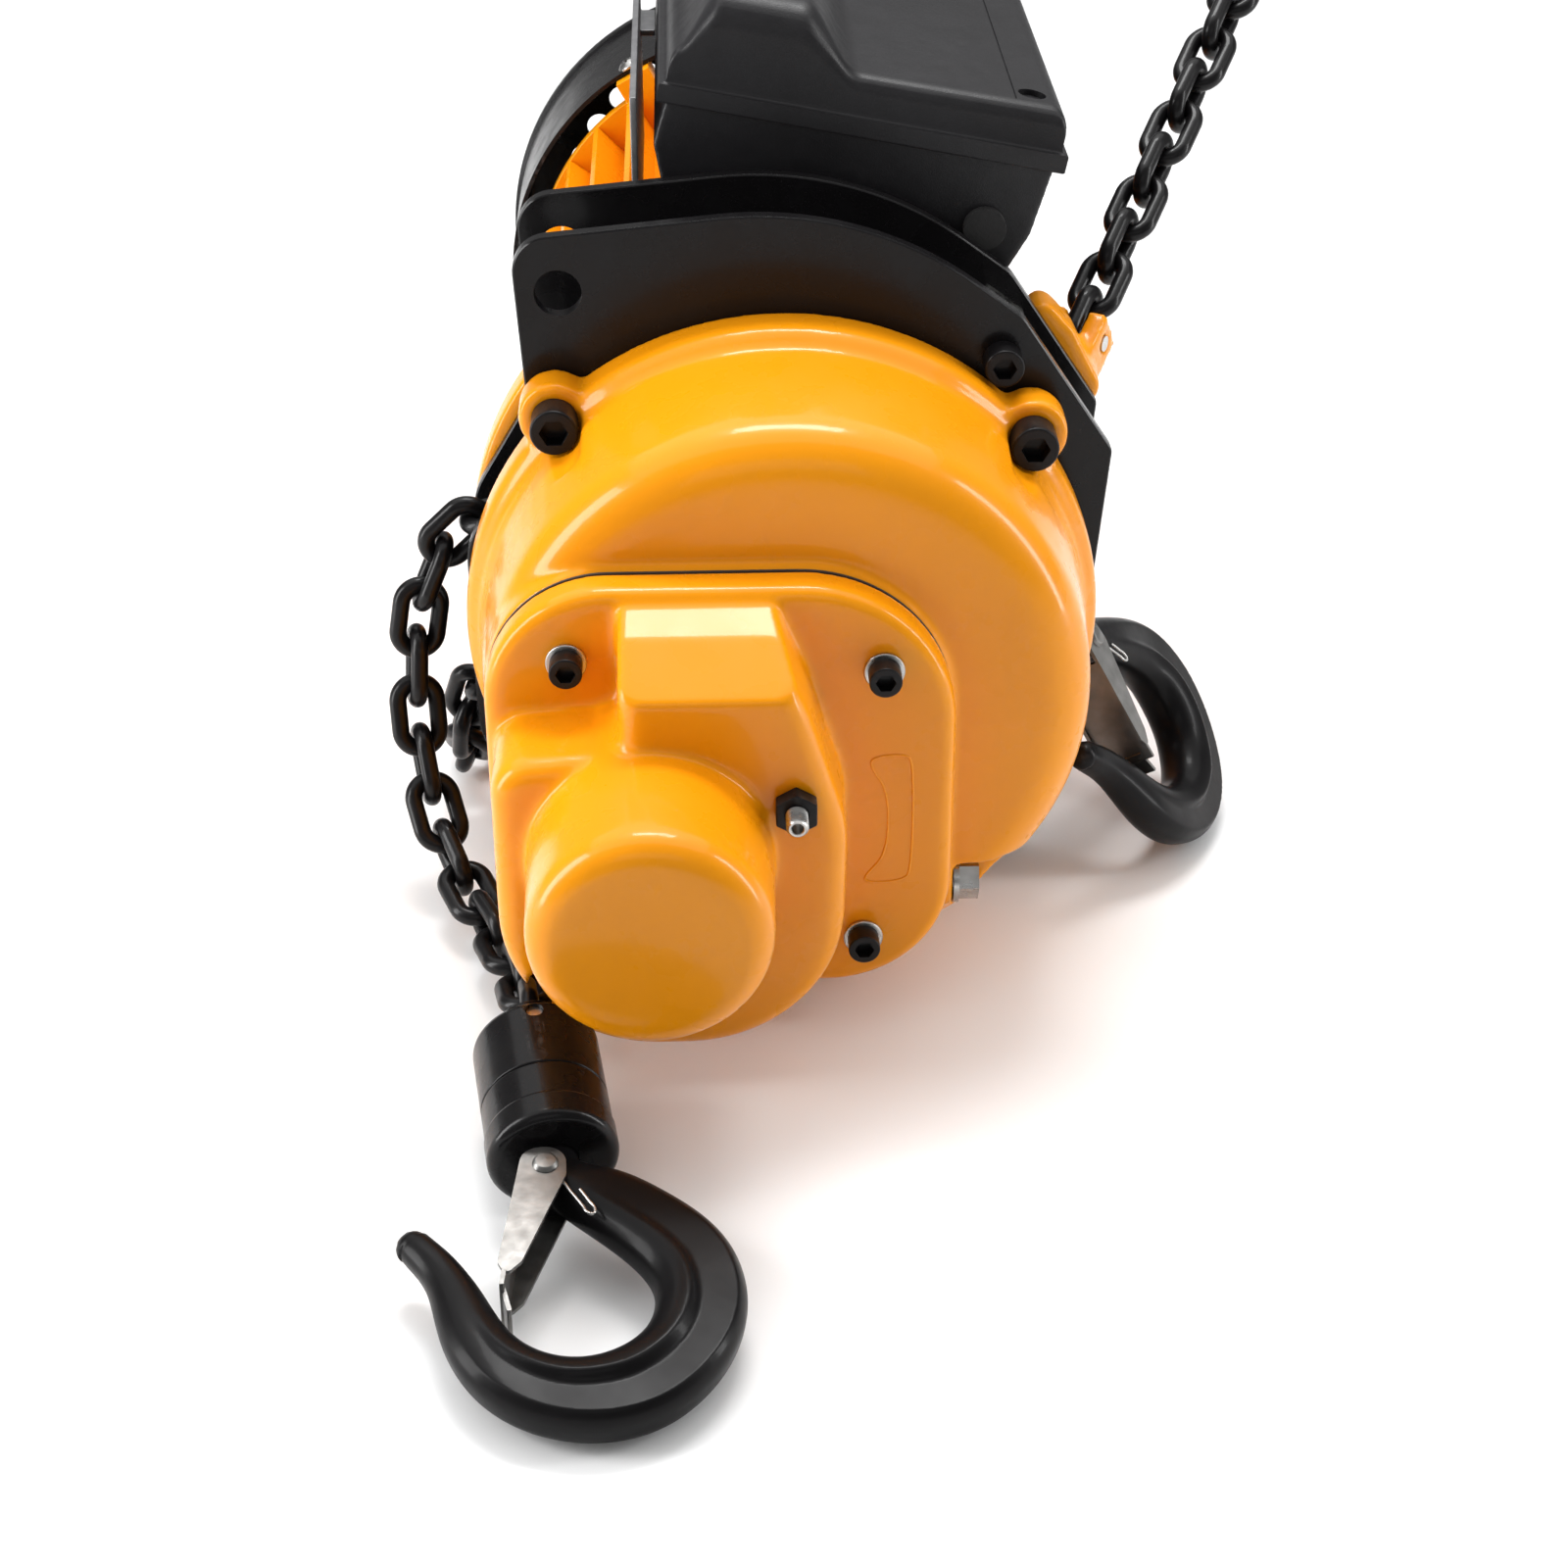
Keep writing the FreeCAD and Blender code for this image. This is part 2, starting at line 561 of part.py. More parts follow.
def anchor_placement():
    pin_axis = Vector(TAIL_DIRECTION.y, -TAIL_DIRECTION.x, 0)
    return Placement(ANCHOR, along(TAIL_DIRECTION, pin_axis))


def motor_flange():
    """Front end shield of the motor, with the lug that anchors the dead end of the chain."""
    disc = turned_y([(0, PLATES_END_Y, 0), (MOTOR_FLANGE_R, PLATES_END_Y, 2), (MOTOR_FLANGE_R, 72, 5),
                     (108, HOUSING_START_Y, 6), (0, HOUSING_START_Y, 0)])
    hollow = turned_y([(0, 70, 0), (60, 70, 0), (86, 74, 3), (86, 81, 0), (0, 81, 0)])
    lug = prism_y(LUG_OUTLINE, PLATES_END_Y, 70)
    clevis = place(block(-13, 13, -10, 10, -16, 8), anchor_placement())
    slot = place(block(-4.3, 4.3, -13, 13, -11.6, 12), anchor_placement())
    pin_hole = place(rod_x(3.3, AXIS_X * -15, 30), anchor_placement())
    body = fuse_all([disc, lug, clevis]).cut(hollow).cut(slot).cut(pin_hole)
    body = body.cut(rod_y(17.5, 50, 66)).cut(rod_y(11.0, 50, 90))
    body = body.cut(hex_prism_y(22.0, PLATES_END_Y - 1, PLATES_END_Y + 11, PLATE_BOLT.x, PLATE_BOLT.z))
    for centre in case_bolt_centres():
        body = body.cut(rod_y(6.02, 50, 76, centre.x, centre.z))
        body = body.fuse(ring_y(11.0, 6.02, PLATES_END_Y, 68, centre.x, centre.z))
    relief = ring_y(SHEAVE_JOURNAL_R + 3, 5, PLATES_END_Y - 1, PLATES_END_Y + 2)
    return body.cut(relief).removeSplitter()


def anchor_pin():
    return place(rod_x(3.28, AXIS_X * -13, 26), anchor_placement())


def motor_housing():
    shell = ring_y(HOUSING_R, HOUSING_R - 5, HOUSING_START_Y, HOUSING_END_Y)
    fins = []
    for i in range(FIN_COUNT):
        fin = block(HOUSING_R - 2, FIN_R, HOUSING_START_Y + 3, HOUSING_END_Y, -1.6, 1.6)
        fin.rotate(ORIGIN, AXIS_Y, i * 360.0 / FIN_COUNT)
        fins.append(fin)
    return fuse_all([shell] + fins)


def stator():
    core = ring_y(HOUSING_R - 5.05, ROTOR_R + 0.6, STATOR_Y[0], STATOR_Y[1])
    front = turned_y([(58, 96, 6), (82, 96, 8), (82, STATOR_Y[0], 0), (58, STATOR_Y[0], 0)])
    back = turned_y([(58, STATOR_Y[1], 0), (82, STATOR_Y[1], 0), (82, 282, 8), (58, 282, 6)])
    return fuse_all([core, front, back])


def rotor():
    return ring_y(ROTOR_R, 12.0, STATOR_Y[0], STATOR_Y[1])


def motor_shaft():
    pinion = gear(STAGE1_MODULE, STAGE1_PINION, WHEEL_GEAR_Y[0] - 3, WHEEL_GEAR_Y[1] + 3, 0,
                  SHAFT_OFFSET_ANGLE + 180.0)
    return fuse_all([pinion, rod_y(MOTOR_SHAFT_R, -112, 400), rod_y(12.0, 76, SHIELD_START_Y - 9.1)])


def motor_bearings():
    return group([ring_y(17.5, MOTOR_SHAFT_R + RUNNING_GAP, PLATES_END_Y + 3, 65.9),
                  ring_y(17.5, MOTOR_SHAFT_R + RUNNING_GAP, SHIELD_START_Y - 9, SHIELD_END_Y - 0.5)])


def end_shield():
    disc = rod_y(FIN_R, SHIELD_START_Y, SHIELD_END_Y)
    collar = rod_y(26.0, SHIELD_START_Y - 9, SHIELD_START_Y + 1)
    lugs = []
    for angle in FAN_SCREW_ANGLES:
        lug = block(100, FAN_COVER_R - 2.6, SHIELD_START_Y, SHIELD_START_Y + 18, -9, 9)
        lug = lug.cut(rod_x(2.52, Vector(100, SHIELD_START_Y + 10, 0), 30))
        lug.rotate(ORIGIN, AXIS_Y, -angle)
        lugs.append(lug)
    body = fuse_all([disc, collar] + lugs)
    return body.cut(rod_y(17.5, SHIELD_START_Y - 10, SHIELD_END_Y - 0.5)).cut(rod_y(8.5, 300, 400))


def brake_disc():
    return fuse_all([ring_y(46.0, 12.0, BRAKE_DISC_Y[0], BRAKE_DISC_Y[1]), ring_y(18.0, 12.0, 290, 302)])


def brake_armature():
    return ring_y(50.0, 20.0, ARMATURE_Y[0], ARMATURE_Y[1])


def brake_coil():
    pot = ring_y(56.0, 18.0, COIL_Y[0], COIL_Y[1])
    spider = [block(-6, 6, COIL_Y[0] + 4, COIL_Y[1], 54, HOUSING_R - 5.5) for _ in range(3)]
    for i, arm in enumerate(spider):
        arm.rotate(ORIGIN, AXIS_Y, 120.0 * i)
    return fuse_all([pot] + spider)


def fan():
    hub = ring_y(20.0, MOTOR_SHAFT_R, FAN_Y[0], FAN_Y[1])
    web = ring_y(70.0, 19.0, FAN_Y[0], FAN_Y[0] + 3)
    blades = []
    for i in range(9):
        blade = block(18, 104, FAN_Y[0], FAN_Y[1], -1.5, 1.5)
        blade.rotate(ORIGIN, AXIS_Y, 40.0 * i)
        blades.append(blade)
    return fuse_all([hub, web] + blades)


def fan_cover():
    outer = turned_y([(0, FAN_COVER_START_Y, 0), (FAN_COVER_R, FAN_COVER_START_Y, 0),
                      (FAN_COVER_R, FAN_COVER_END_Y - 10, 0), (MOTOR_FLANGE_R, FAN_COVER_END_Y - 9, 1),
                      (MOTOR_FLANGE_R, FAN_COVER_END_Y, 5), (0, FAN_COVER_END_Y, 0)])
    inner = turned_y([(0, FAN_COVER_START_Y - 1, 0), (FAN_COVER_R - 2, FAN_COVER_START_Y - 1, 0),
                      (FAN_COVER_R - 2, FAN_COVER_END_Y - 2.5, 4), (0, FAN_COVER_END_Y - 2.5, 0)])
    body = outer.cut(inner)
    slots = []
    for ring in range(4):
        count = 8 + 8 * ring
        for i in range(count):
            angle = 2 * math.pi * i / count
            radius = 30.0 + 22.0 * ring
            slots.append(rod_y(6.5, FAN_COVER_END_Y - 4, FAN_COVER_END_Y + 1,
                               radius * math.cos(angle), radius * math.sin(angle)))
    body = body.cut(Part.makeCompound(slots))
    for angle in FAN_SCREW_ANGLES:
        hole = rod_x(2.7, Vector(110, SHIELD_START_Y + 10, 0), 30)
        hole.rotate(ORIGIN, AXIS_Y, -angle)
        body = body.cut(hole)
    return body


def fan_cover_screws():
    screws = []
    for angle in FAN_SCREW_ANGLES:
        start = Vector(FAN_COVER_R, SHIELD_START_Y + 10, 0)
        dome = Part.makeSphere(7.0, start - AXIS_X * 3.6).common(rod_x(5.4, start, 4))
        shank = rod_x(2.5, start - AXIS_X * 13.5, 14)
        screw = fuse_all([dome, shank])
        cross = block(FAN_COVER_R + 1.6, FAN_COVER_R + 5, start.y - 2.6, start.y + 2.6, -0.6, 0.6)
        screw = screw.cut(cross).cut(cross.copy().rotated(start, AXIS_X, 90))
        screw.rotate(ORIGIN, AXIS_Y, -angle)
        screws.append(screw)
    return group(screws)


# ---------------------------------------------------------------- control box
BOX_END_Y = BOX_SEAT.y + BOX_LENGTH
LID_SCREWS = [(64, 78, 15), (64, 236, 15), (-55, 78, 35), (-55, 236, 35)]   # across, y, seat height
SADDLE_R = 127.5
BASE_PROFILE = [(-77, 0, 0), (-79, -20, 6), (-62, -64, 8), (62, -64, 8), (74, -30, 10), (77, 0, 0)]
LID_PROFILE = [(-81, -3, 1), (-81, 5, 2), (-76, 8, 3), (-66, 42, 18), (-30, 42, 20), (-8, 21, 16),
               (70, 21, 9), (78, 6, 2), (81, 4, 1), (81, -3, 1)]


def box_placement():
    return Placement(Vector(BOX_SEAT.x, 0, BOX_SEAT.z), Rotation(AXIS_Y, BOX_TILT))


def box_base():
    outer = prism_y(BASE_PROFILE, BOX_SEAT.y, BOX_END_Y)
    inner = prism_y([(-74, 1, 0), (-76, -20, 5), (-58, -61, 5), (58, -61, 5), (71, -30, 8), (74, 1, 0)],
                    BOX_SEAT.y + 3, BOX_END_Y - 3)
    saddle = place(rod_y(SADDLE_R, 0, 300), box_placement().inverse())
    lining = place(rod_y(SADDLE_R + 3, 0, 300), box_placement().inverse())
    base = outer.cut(inner.cut(lining)).cut(saddle)
    for u in (-30, 0, 30):
        base = base.cut(Part.makeCylinder(9.0, 8, Vector(u, BOX_END_Y - 5, -26), AXIS_Y))
    return place(base, box_placement())


def box_gasket():
    frame = block(-75, 75, BOX_SEAT.y + 1, BOX_END_Y - 1, 0, 1.2)
    frame = frame.cut(block(-72, 72, BOX_SEAT.y + 4, BOX_END_Y - 4, -1, 3))
    return place(frame, box_placement())


def box_lid():
    outer = prism_y(LID_PROFILE, BOX_SEAT.y - 4, BOX_END_Y + 4)
    inner = prism_y([(-78.2, -4, 0), (-77, 1.3, 0), (-72, 7, 1), (-63.5, 39, 14), (-31, 39, 16), (-9, 18, 12),
                     (67, 18, 6), (74, 6, 1), (78.2, 1.3, 0), (78.2, -4, 0)], BOX_SEAT.y + 3, BOX_END_Y - 3)
    rim = block(-78.2, 78.2, BOX_SEAT.y - 1, BOX_END_Y + 1, -4, 1.3)
    lid = outer.cut(inner).cut(rim)
    for u, y, seat in LID_SCREWS:
        post = Part.makeCylinder(7.6, 48, Vector(u, y, 2), AXIS_Z).common(outer)
        lid = lid.fuse(post).cut(Part.makeCylinder(5.6, 40, Vector(u, y, seat), AXIS_Z))
        lid = lid.cut(Part.makeCylinder(2.02, 40, Vector(u, y, 0), AXIS_Z))
    return place(lid.removeSplitter(), box_placement())


def box_screws():
    screws = []
    for u, y, seat in LID_SCREWS:
        head = Part.makeCylinder(4.6, 3.0, Vector(u, y, seat), AXIS_Z)
        shank = Part.makeCylinder(2.0, seat - 2.5, Vector(u, y, 3), AXIS_Z)
        slot = block(u - 3, u + 3, y - 0.6, y + 0.6, seat + 1.8, seat + 4)
        screws.append(place(fuse_all([head, shank]).cut(slot), box_placement()))
    return group(screws)


def box_bracket():
    wall = block(-56, -53.4, 64, 232, 114.6, 186)
    tab = block(-53.5, -47.1, 196, 226, 170, 172.6)
    return fuse_all([wall, tab])


def box_plugs():
    plugs = [rod_y(8.5, BOX_SEAT.y - 3.2, BOX_SEAT.y - 0.01, 55, -30)]
    for u in (-30, 0, 30):
        gland = fuse_all([rod_y(9.0, BOX_END_Y - 3, BOX_END_Y, u, -26),
                          hex_prism_y(22.0, BOX_END_Y, BOX_END_Y + 6, u, -26),
                          rod_y(9.5, BOX_END_Y + 5, BOX_END_Y + 18, u, -26)])
        plugs.append(gland.cut(rod_y(4.5, BOX_END_Y - 5, BOX_END_Y + 20, u, -26)))
    return group([place(plug, box_placement()) for plug in plugs])


def capacitor():
    can = rod_y(17.0, 98, 182, -47, 18.5)
    terminals = rod_y(6.0, 182, 188, -47, 18.5)
    return place(fuse_all([can, terminals]), box_placement())


def contactor():
    body = fuse_all([block(-2, 44, 84, 152, -30, 2), block(4, 38, 90, 146, 2, 13)])
    return place(body, box_placement())


def terminal_block():
    body = block(-8, 52, 172, 196, -28, -14)
    for i in range(6):
        body = body.cut(Part.makeCylinder(3.0, 8, Vector(-3 + 10 * i, 184, -20), AXIS_Z))
    return place(body, box_placement())


def mounting_plate():
    return place(block(-10, 62, 78, 240, -33, -30), box_placement())


# ---------------------------------------------------------------- chain
GUIDE_MOUTH_X = -104.0
LEVER_PIVOT_X = -112.0
LINK_ARC_R = (LINK_OUTER_W - CHAIN_D) / 2.0
LINK_HALF = (CHAIN_PITCH + 2 * CHAIN_D) / 2.0 - CHAIN_D / 2.0 - LINK_ARC_R
LINK_REACH = LINK_HALF + LINK_ARC_R       # link centre to the crown of its wire
LINK_PLAY = 0.3             # slack between two hooked links
LINK_BEND = 32.0            # most two hooked links are turned to each other, degrees


def chain_link():
    """One link standing along Z with its loop in the XZ plane."""
    wire_r = CHAIN_D / 2.0
    legs = [Part.makeCylinder(wire_r, 2 * LINK_HALF, Vector(side * LINK_ARC_R, 0, -LINK_HALF), AXIS_Z)
            for side in (-1, 1)]
    bends = []
    for end in (-1, 1):
        circle = Part.Circle(Vector(LINK_ARC_R, 0, end * LINK_HALF), AXIS_Z, wire_r)
        disc = Part.Face(Part.Wire(circle.toShape()))
        bends.append(disc.revolve(Vector(0, 0, end * LINK_HALF), AXIS_Y, -180.0 * end))
    return fuse_all(legs + bends)


def next_link(previous, aim, twist):
    """Placement of the link hooked on to `previous`, its far end turned towards `aim`."""
    turn = previous.Rotation
    along_z = turn.multVec(AXIS_Z)
    across = turn.multVec(AXIS_Y)
    end = previous.Base + along_z * LINK_REACH
    wanted = aim - end
    wanted.normalize()
    limit = math.cos(math.radians(LINK_BEND))
    if wanted.dot(along_z) < limit:
        side = wanted - along_z * wanted.dot(along_z)
        side.normalize()
        wanted = along_z * limit + side * math.sqrt(1 - limit * limit)
    hinge = along_z + across * wanted.dot(across)
    hinge.normalize()
    start = end - hinge * (CHAIN_D + LINK_PLAY)
    flat = across - wanted * wanted.dot(across)
    flat.normalize()
    roll = Rotation(AXIS_Z, twist)
    frame = Rotation(flat, wanted.cross(flat), wanted, "ZXY").multiply(roll)
    return Placement(start + wanted * LINK_REACH, frame)


def chain_run(first, route, count, twist=0.0):
    """Links hooked one after another along a route, starting on from the link `first`."""
    curve = Part.BSplineCurve()
    curve.interpolate(route)
    edge = curve.toShape()
    links = []
    current = first
    for i in range(count):
        reach = min((i + 1.9) * LINK_SPACING, edge.Length)
        aim = edge.valueAt(edge.getParameterByLength(reach))
        current = next_link(current, aim, twist)
        links.append(current)
    return links


def chain_solids(placements):
    model = chain_link()
    return group([place(model, at) for at in placements])


# Load fall, from the hook block back up to the guide between the plates.
LOAD_ROUTE = [Vector(-98, -140, -97.5), Vector(-102, -114, -106), Vector(-107, -86, -112.5),
              Vector(-118, -57, -114), Vector(-131, -32, -112), Vector(-143, -10, -101),
              Vector(-150, 6, -80), Vector(-152, 15, -54), Vector(-151, 21, -27), Vector(-147, 25, -3),
              Vector(-138, 26.5, 20), Vector(-122, 26.5, 35), Vector(-102, 26, 37), Vector(-80, 26, 34.6),
              Vector(-58, 26, 34.2), Vector(-30, 26, 34.2)]
SLACK_ROUTE = [Vector(-60, MID_Y, -34.2), Vector(-84, MID_Y, -34.2), Vector(-106, MID_Y, -34.2),
               Vector(-126, MID_Y + 4, -44), Vector(-133, MID_Y + 12, -70), Vector(-135, MID_Y + 26, -96),
               Vector(-135, MID_Y + 46, -111), Vector(-134, MID_Y + 80, -114),
               Vector(-132, MID_Y + 130, -114)]
LOAD_LINKS = 18
LOAD_TWIST = -1.0           # degrees each link is turned on the last
SLACK_LINKS = 9
TAIL_LINKS = 12


def slack_start():
    """First link of the slack fall, standing in the wheel plane inside the guide."""
    standing = Rotation(AXIS_Z, AXIS_Y, AXIS_X * -1.0, "ZXY")
    return Placement(Vector(-60, MID_Y, -CHAIN_LEVEL), standing)


def tail_links():
    direction = Vector(TAIL_DIRECTION)
    direction.normalize()
    first = 3.3 + CHAIN_D / 2.0 + 0.15
    offset = LINK_REACH - first
    pin_axis = Vector(TAIL_DIRECTION.y, -TAIL_DIRECTION.x, 0)
    turn = along(direction, pin_axis)
    links = []
    model = chain_link()
    for i in range(TAIL_LINKS):
        centre = ANCHOR + direction * (offset + i * LINK_SPACING)
        roll = Rotation(AXIS_Z, 90.0 * ((i + 1) % 2))
        links.append(place(model, Placement(centre, turn.multiply(roll))))
    return links, direction, turn


def tail_chain():
    return group(tail_links()[0])


def tail_ring():
    links, direction, turn = tail_links()
    centre = links[-1].CenterOfMass + direction * (LINK_REACH - CHAIN_D / 2 - 4.3 + 20.0)
    ring = Part.makeTorus(20.0, 4.0, ORIGIN, AXIS_Y)
    roll = Rotation(AXIS_Z, 90.0 * (TAIL_LINKS % 2 + 1))
    return place(ring, Placement(centre, turn.multiply(roll)))


def chain_guide():
    """Guide between the plates that feeds both falls on to the sheave."""
    body = prism_y([(GUIDE_MOUTH_X, 54, 6), (-50, 54, 4), (-50, 46, 2), (-44, 20, 6), (-44, -20, 6),
                    (-50, -46, 2), (-50, -54, 4), (GUIDE_MOUTH_X, -54, 6)], PLATE_T + 0.5, REAR_Y - 0.5)
    for level in (CHAIN_LEVEL, -CHAIN_LEVEL):
        body = body.cut(block(-125, -40, MID_Y - 5.5, MID_Y + 5.5, level - 13.5, level + 13.5))
        body = body.cut(block(-125, -40, MID_Y - 13.5, MID_Y + 13.5, level - 5.5, level + 5.5))
        rise = math.copysign(2.0, level)
        body = body.cut(block(-125, -86, MID_Y - 13.5, MID_Y + 13.5, level - rise - 8.5, level - rise + 7.5))
        body = body.cut(block(-125, -86, MID_Y - 6.5, MID_Y + 6.5, level - rise - 15.5, level - rise + 15.5))
    for centre in case_bolt_centres():
        body = body.cut(rod_y(11.0, 0, 60, centre.x, centre.z))
    return body


def limit_lever():
    """Rocker at the mouth of the guide that trips the limit switch when the block comes up."""
    arm = prism_y([(LEVER_PIVOT_X + 6, -9, 2), (LEVER_PIVOT_X - 6, -9, 2), (LEVER_PIVOT_X - 6, 9, 2),
                   (LEVER_PIVOT_X + 6, 9, 2)], MID_Y - 14, MID_Y + 14)
    return arm.cut(rod_y(2.5 + RUNNING_GAP, 0, 60, LEVER_PIVOT_X, 0))


def limit_pin():
    return rod_y(2.5, PLATE_T, REAR_Y, LEVER_PIVOT_X, 0)


# ---------------------------------------------------------------- hooks and hook block
# Hooks are drawn hanging: the shank runs up +Z, the bowl centre is the origin and the
# tip is on the +X side.  Each station is a point of the section's centre line with the
# section's width in the hook's plane and its thickness across it.
HOOK_STATIONS = [
    (0, 64.6, 16.8, 16.8), (-1, 58, 17.2, 17), (-10, 46, 20, 18), (-25, 30.5, 24, 20), (-37.5, 12, 28, 22),
    (-39.5, -8, 30, 24), (-31, -26, 30, 24), (-13, -38, 30, 24), (9, -37.5, 27, 23), (27, -25, 24, 21),
    (36, -7, 21, 18), (40, 10, 17, 15), (45.6, 25, 12.6, 12.4), (52, 35.6, 10.4, 10.4)]
LOAD_SHOULDER = (0, 1, 5, 5, 3, 1)        # extra width on the back of the load hook's first sections
LATCH_PIVOT = Vector(4, 0, 56)
LATCH_PIN_R = 3.0
NECK_R = 8.6


def section_wire(centre, tangent, width, thick):
    side = Vector(tangent.z, 0, -tangent.x)
    points = []
    for k in range(12):
        angle = 2 * math.pi * k / 12
        reach = math.copysign(abs(math.cos(angle)) ** 0.85, math.cos(angle)) * width / 2.0
        lift = math.copysign(abs(math.sin(angle)) ** 0.85, math.sin(angle)) * thick / 2.0
        points.append(centre + side * reach + Vector(0, lift, 0))
    curve = Part.BSplineCurve()
    curve.interpolate(points, PeriodicFlag=True)
    return Part.Wire(curve.toShape())


def hook_body(shoulder):
    """Forged hook from its shoulder round the bowl to the tip."""
    path = Part.BSplineCurve()
    path.interpolate([Vector(x, 0, z) for x, z, _, _ in HOOK_STATIONS])
    wires = []
    for i, (x, z, width, thick) in enumerate(HOOK_STATIONS):
        tangent = path.tangent(path.parameter(Vector(x, 0, z)))[0]
        growth = shoulder[i] if i < len(shoulder) else 0
        outward = Vector(tangent.z, 0, -tangent.x)
        wires.append(section_wire(Vector(x, 0, z) + outward * (growth / 2.0), tangent, width + growth, thick))
    return Part.makeLoft(wires, True, False)


def hook(shank_length, shoulder=()):
    shank = rod_z(NECK_R, HOOK_SEAT_DEPTH - 8, HOOK_SEAT_DEPTH + shank_length)
    boss = rod_y(7.6, -8.5, 8.5, LATCH_PIVOT.x, LATCH_PIVOT.z)
    body = fuse_all([hook_body(shoulder), shank, boss])
    return body.cut(rod_y(LATCH_PIN_R + RUNNING_GAP, -20, 20, LATCH_PIVOT.x, LATCH_PIVOT.z))


def latch():
    """Folded sheet latch: two cheeks on the rivet and a web that closes the throat."""
    cheek_outline = [(-4, 64, 7.5), (11.2, 64, 7), (25, 14, 2), (23, 8, 2), (17, 13, 3), (-2.5, 50, 5)]
    cheeks = [prism_y(cheek_outline, y, y + 1.5) for y in (-11.1, 9.6)]
    web = prism_y([(12.4, 50.4, 0.4), (14, 50.4, 0.4), (25.6, 4, 0.4), (24, 4, 0.4)], -11.1, 11.1)
    tongue = prism_y([(23.6, 8, 0.4), (25.2, 8, 0.4), (23.9, -4, 0.4), (22.3, -4, 0.4)], -7, 7)
    body = fuse_all(cheeks + [web, tongue])
    return body.cut(rod_y(LATCH_PIN_R + RUNNING_GAP, -20, 20, LATCH_PIVOT.x, LATCH_PIVOT.z))


def latch_rivet():
    pin = rod_y(LATCH_PIN_R, -12.6, 12.6, LATCH_PIVOT.x, LATCH_PIVOT.z)
    heads = [turned_y([(0, y, 0), (4.6, y, 0), (3.6, y + side * 1.6, 0.6), (0, y + side * 1.9, 0)],
                      LATCH_PIVOT.x, LATCH_PIVOT.z) for y, side in ((11.3, 1), (-11.3, -1))]
    return fuse_all([pin] + heads)


def hook_nut(bottom):
    return rod_z(15.0, bottom, bottom + 11.0).cut(rod_z(NECK_R, bottom - 5, bottom + 25))


# Hook block: drawn hanging with its top at the origin and the hook below it.
BLOCK_SPLIT = 42.0
BLOCK_PIN_DEPTH = 15.0
BEARING_T = 8.0


def block_upper():
    outer = turned_z([(0, 0, 0), (14.2, 0, 1.2), (14.2, -5, 2), (BLOCK_R - 0.5, -11, 5),
                      (BLOCK_R - 0.5, -BLOCK_SPLIT, 1), (0, -BLOCK_SPLIT, 0)])
    slot = block(-12.6, 12.6, -4.4, 4.4, -30, 1)
    mouth = rod_z(12.5, -7, 1).fuse(block(-30, 30, -4.4, 4.4, -11, 1))
    cavity = rod_z(17.5, -BLOCK_SPLIT - 1, -34)
    pin_hole = rod_y(3.32, -40, 40, 0, -BLOCK_PIN_DEPTH)
    return outer.cut(slot).cut(mouth).cut(cavity).cut(pin_hole)


def block_lower():
    outer = turned_z([(0, -BLOCK_SPLIT, 0), (BLOCK_R - 0.5, -BLOCK_SPLIT, 1), (BLOCK_R - 0.5, -57, 1),
                      (BLOCK_R, -58, 1), (BLOCK_R, -BLOCK_LENGTH, 4), (0, -BLOCK_LENGTH, 0)])
    cavity = rod_z(17.5, -BLOCK_LENGTH + 9, -BLOCK_SPLIT + 1)
    return outer.cut(cavity).cut(rod_z(NECK_R + RUNNING_GAP, -80, -30))


def block_pin():
    return rod_y(3.3, -21, 21, 0, -BLOCK_PIN_DEPTH)


def block_bearing():
    bottom = -BLOCK_LENGTH + 9
    return rod_z(16.5, bottom, bottom + BEARING_T).cut(rod_z(NECK_R + RUNNING_GAP, bottom - 1, bottom + 20))


def end_link_placement(block_at):
    """Last link of the load fall, held by the pin of the hook block, pointing up the chain."""
    offset = -BLOCK_PIN_DEPTH + LINK_REACH - CHAIN_D / 2.0 - 3.3 - 0.1
    return block_at.multiply(Placement(Vector(0, 0, offset), Rotation()))


BLOCK_TOP = Vector(-97.8, -152.3, FLOOR_Z + 31.4)
BLOCK_DIRECTION = Vector(0.15, -0.982, -0.11)


def block_placement():
    axis_z = BLOCK_DIRECTION * -1.0
    axis_z.normalize()
    axis_y = AXIS_Z - axis_z * axis_z.dot(AXIS_Z)
    axis_y.normalize()
    axis_x = axis_y.cross(axis_z)
    return Placement(BLOCK_TOP, Rotation(axis_x, axis_y, axis_z, "ZXY"))


def block_hook_offset():
    return Placement(Vector(0, 0, -BLOCK_LENGTH - 0.3 - HOOK_SEAT_DEPTH), Rotation())


# Suspension hook: swings on trunnions between the plates and swivels about its shank.
SWING_ANGLE = 55.0          # below the horizontal, resting on the floor
SWIVEL_ANGLE = 72.0         # bowl turned towards the gear end
YOKE_HALF = 12.0


def yoke_placement():
    swing = math.radians(SWING_ANGLE)
    axis_z = Vector(-math.cos(swing), 0, math.sin(swing))
    axis_x = Vector(-math.sin(swing), 0, -math.cos(swing))
    axis_y = axis_z.cross(axis_x)
    return Placement(YOKE_PIVOT, Rotation(axis_x, axis_y, axis_z, "ZXY"))


def top_hook_placement():
    swivel = Placement(ORIGIN, Rotation(AXIS_Z, SWIVEL_ANGLE))
    drop = Placement(Vector(0, 0, -YOKE_HALF - 0.3 - HOOK_SEAT_DEPTH), Rotation())
    return yoke_placement().multiply(swivel).multiply(drop)


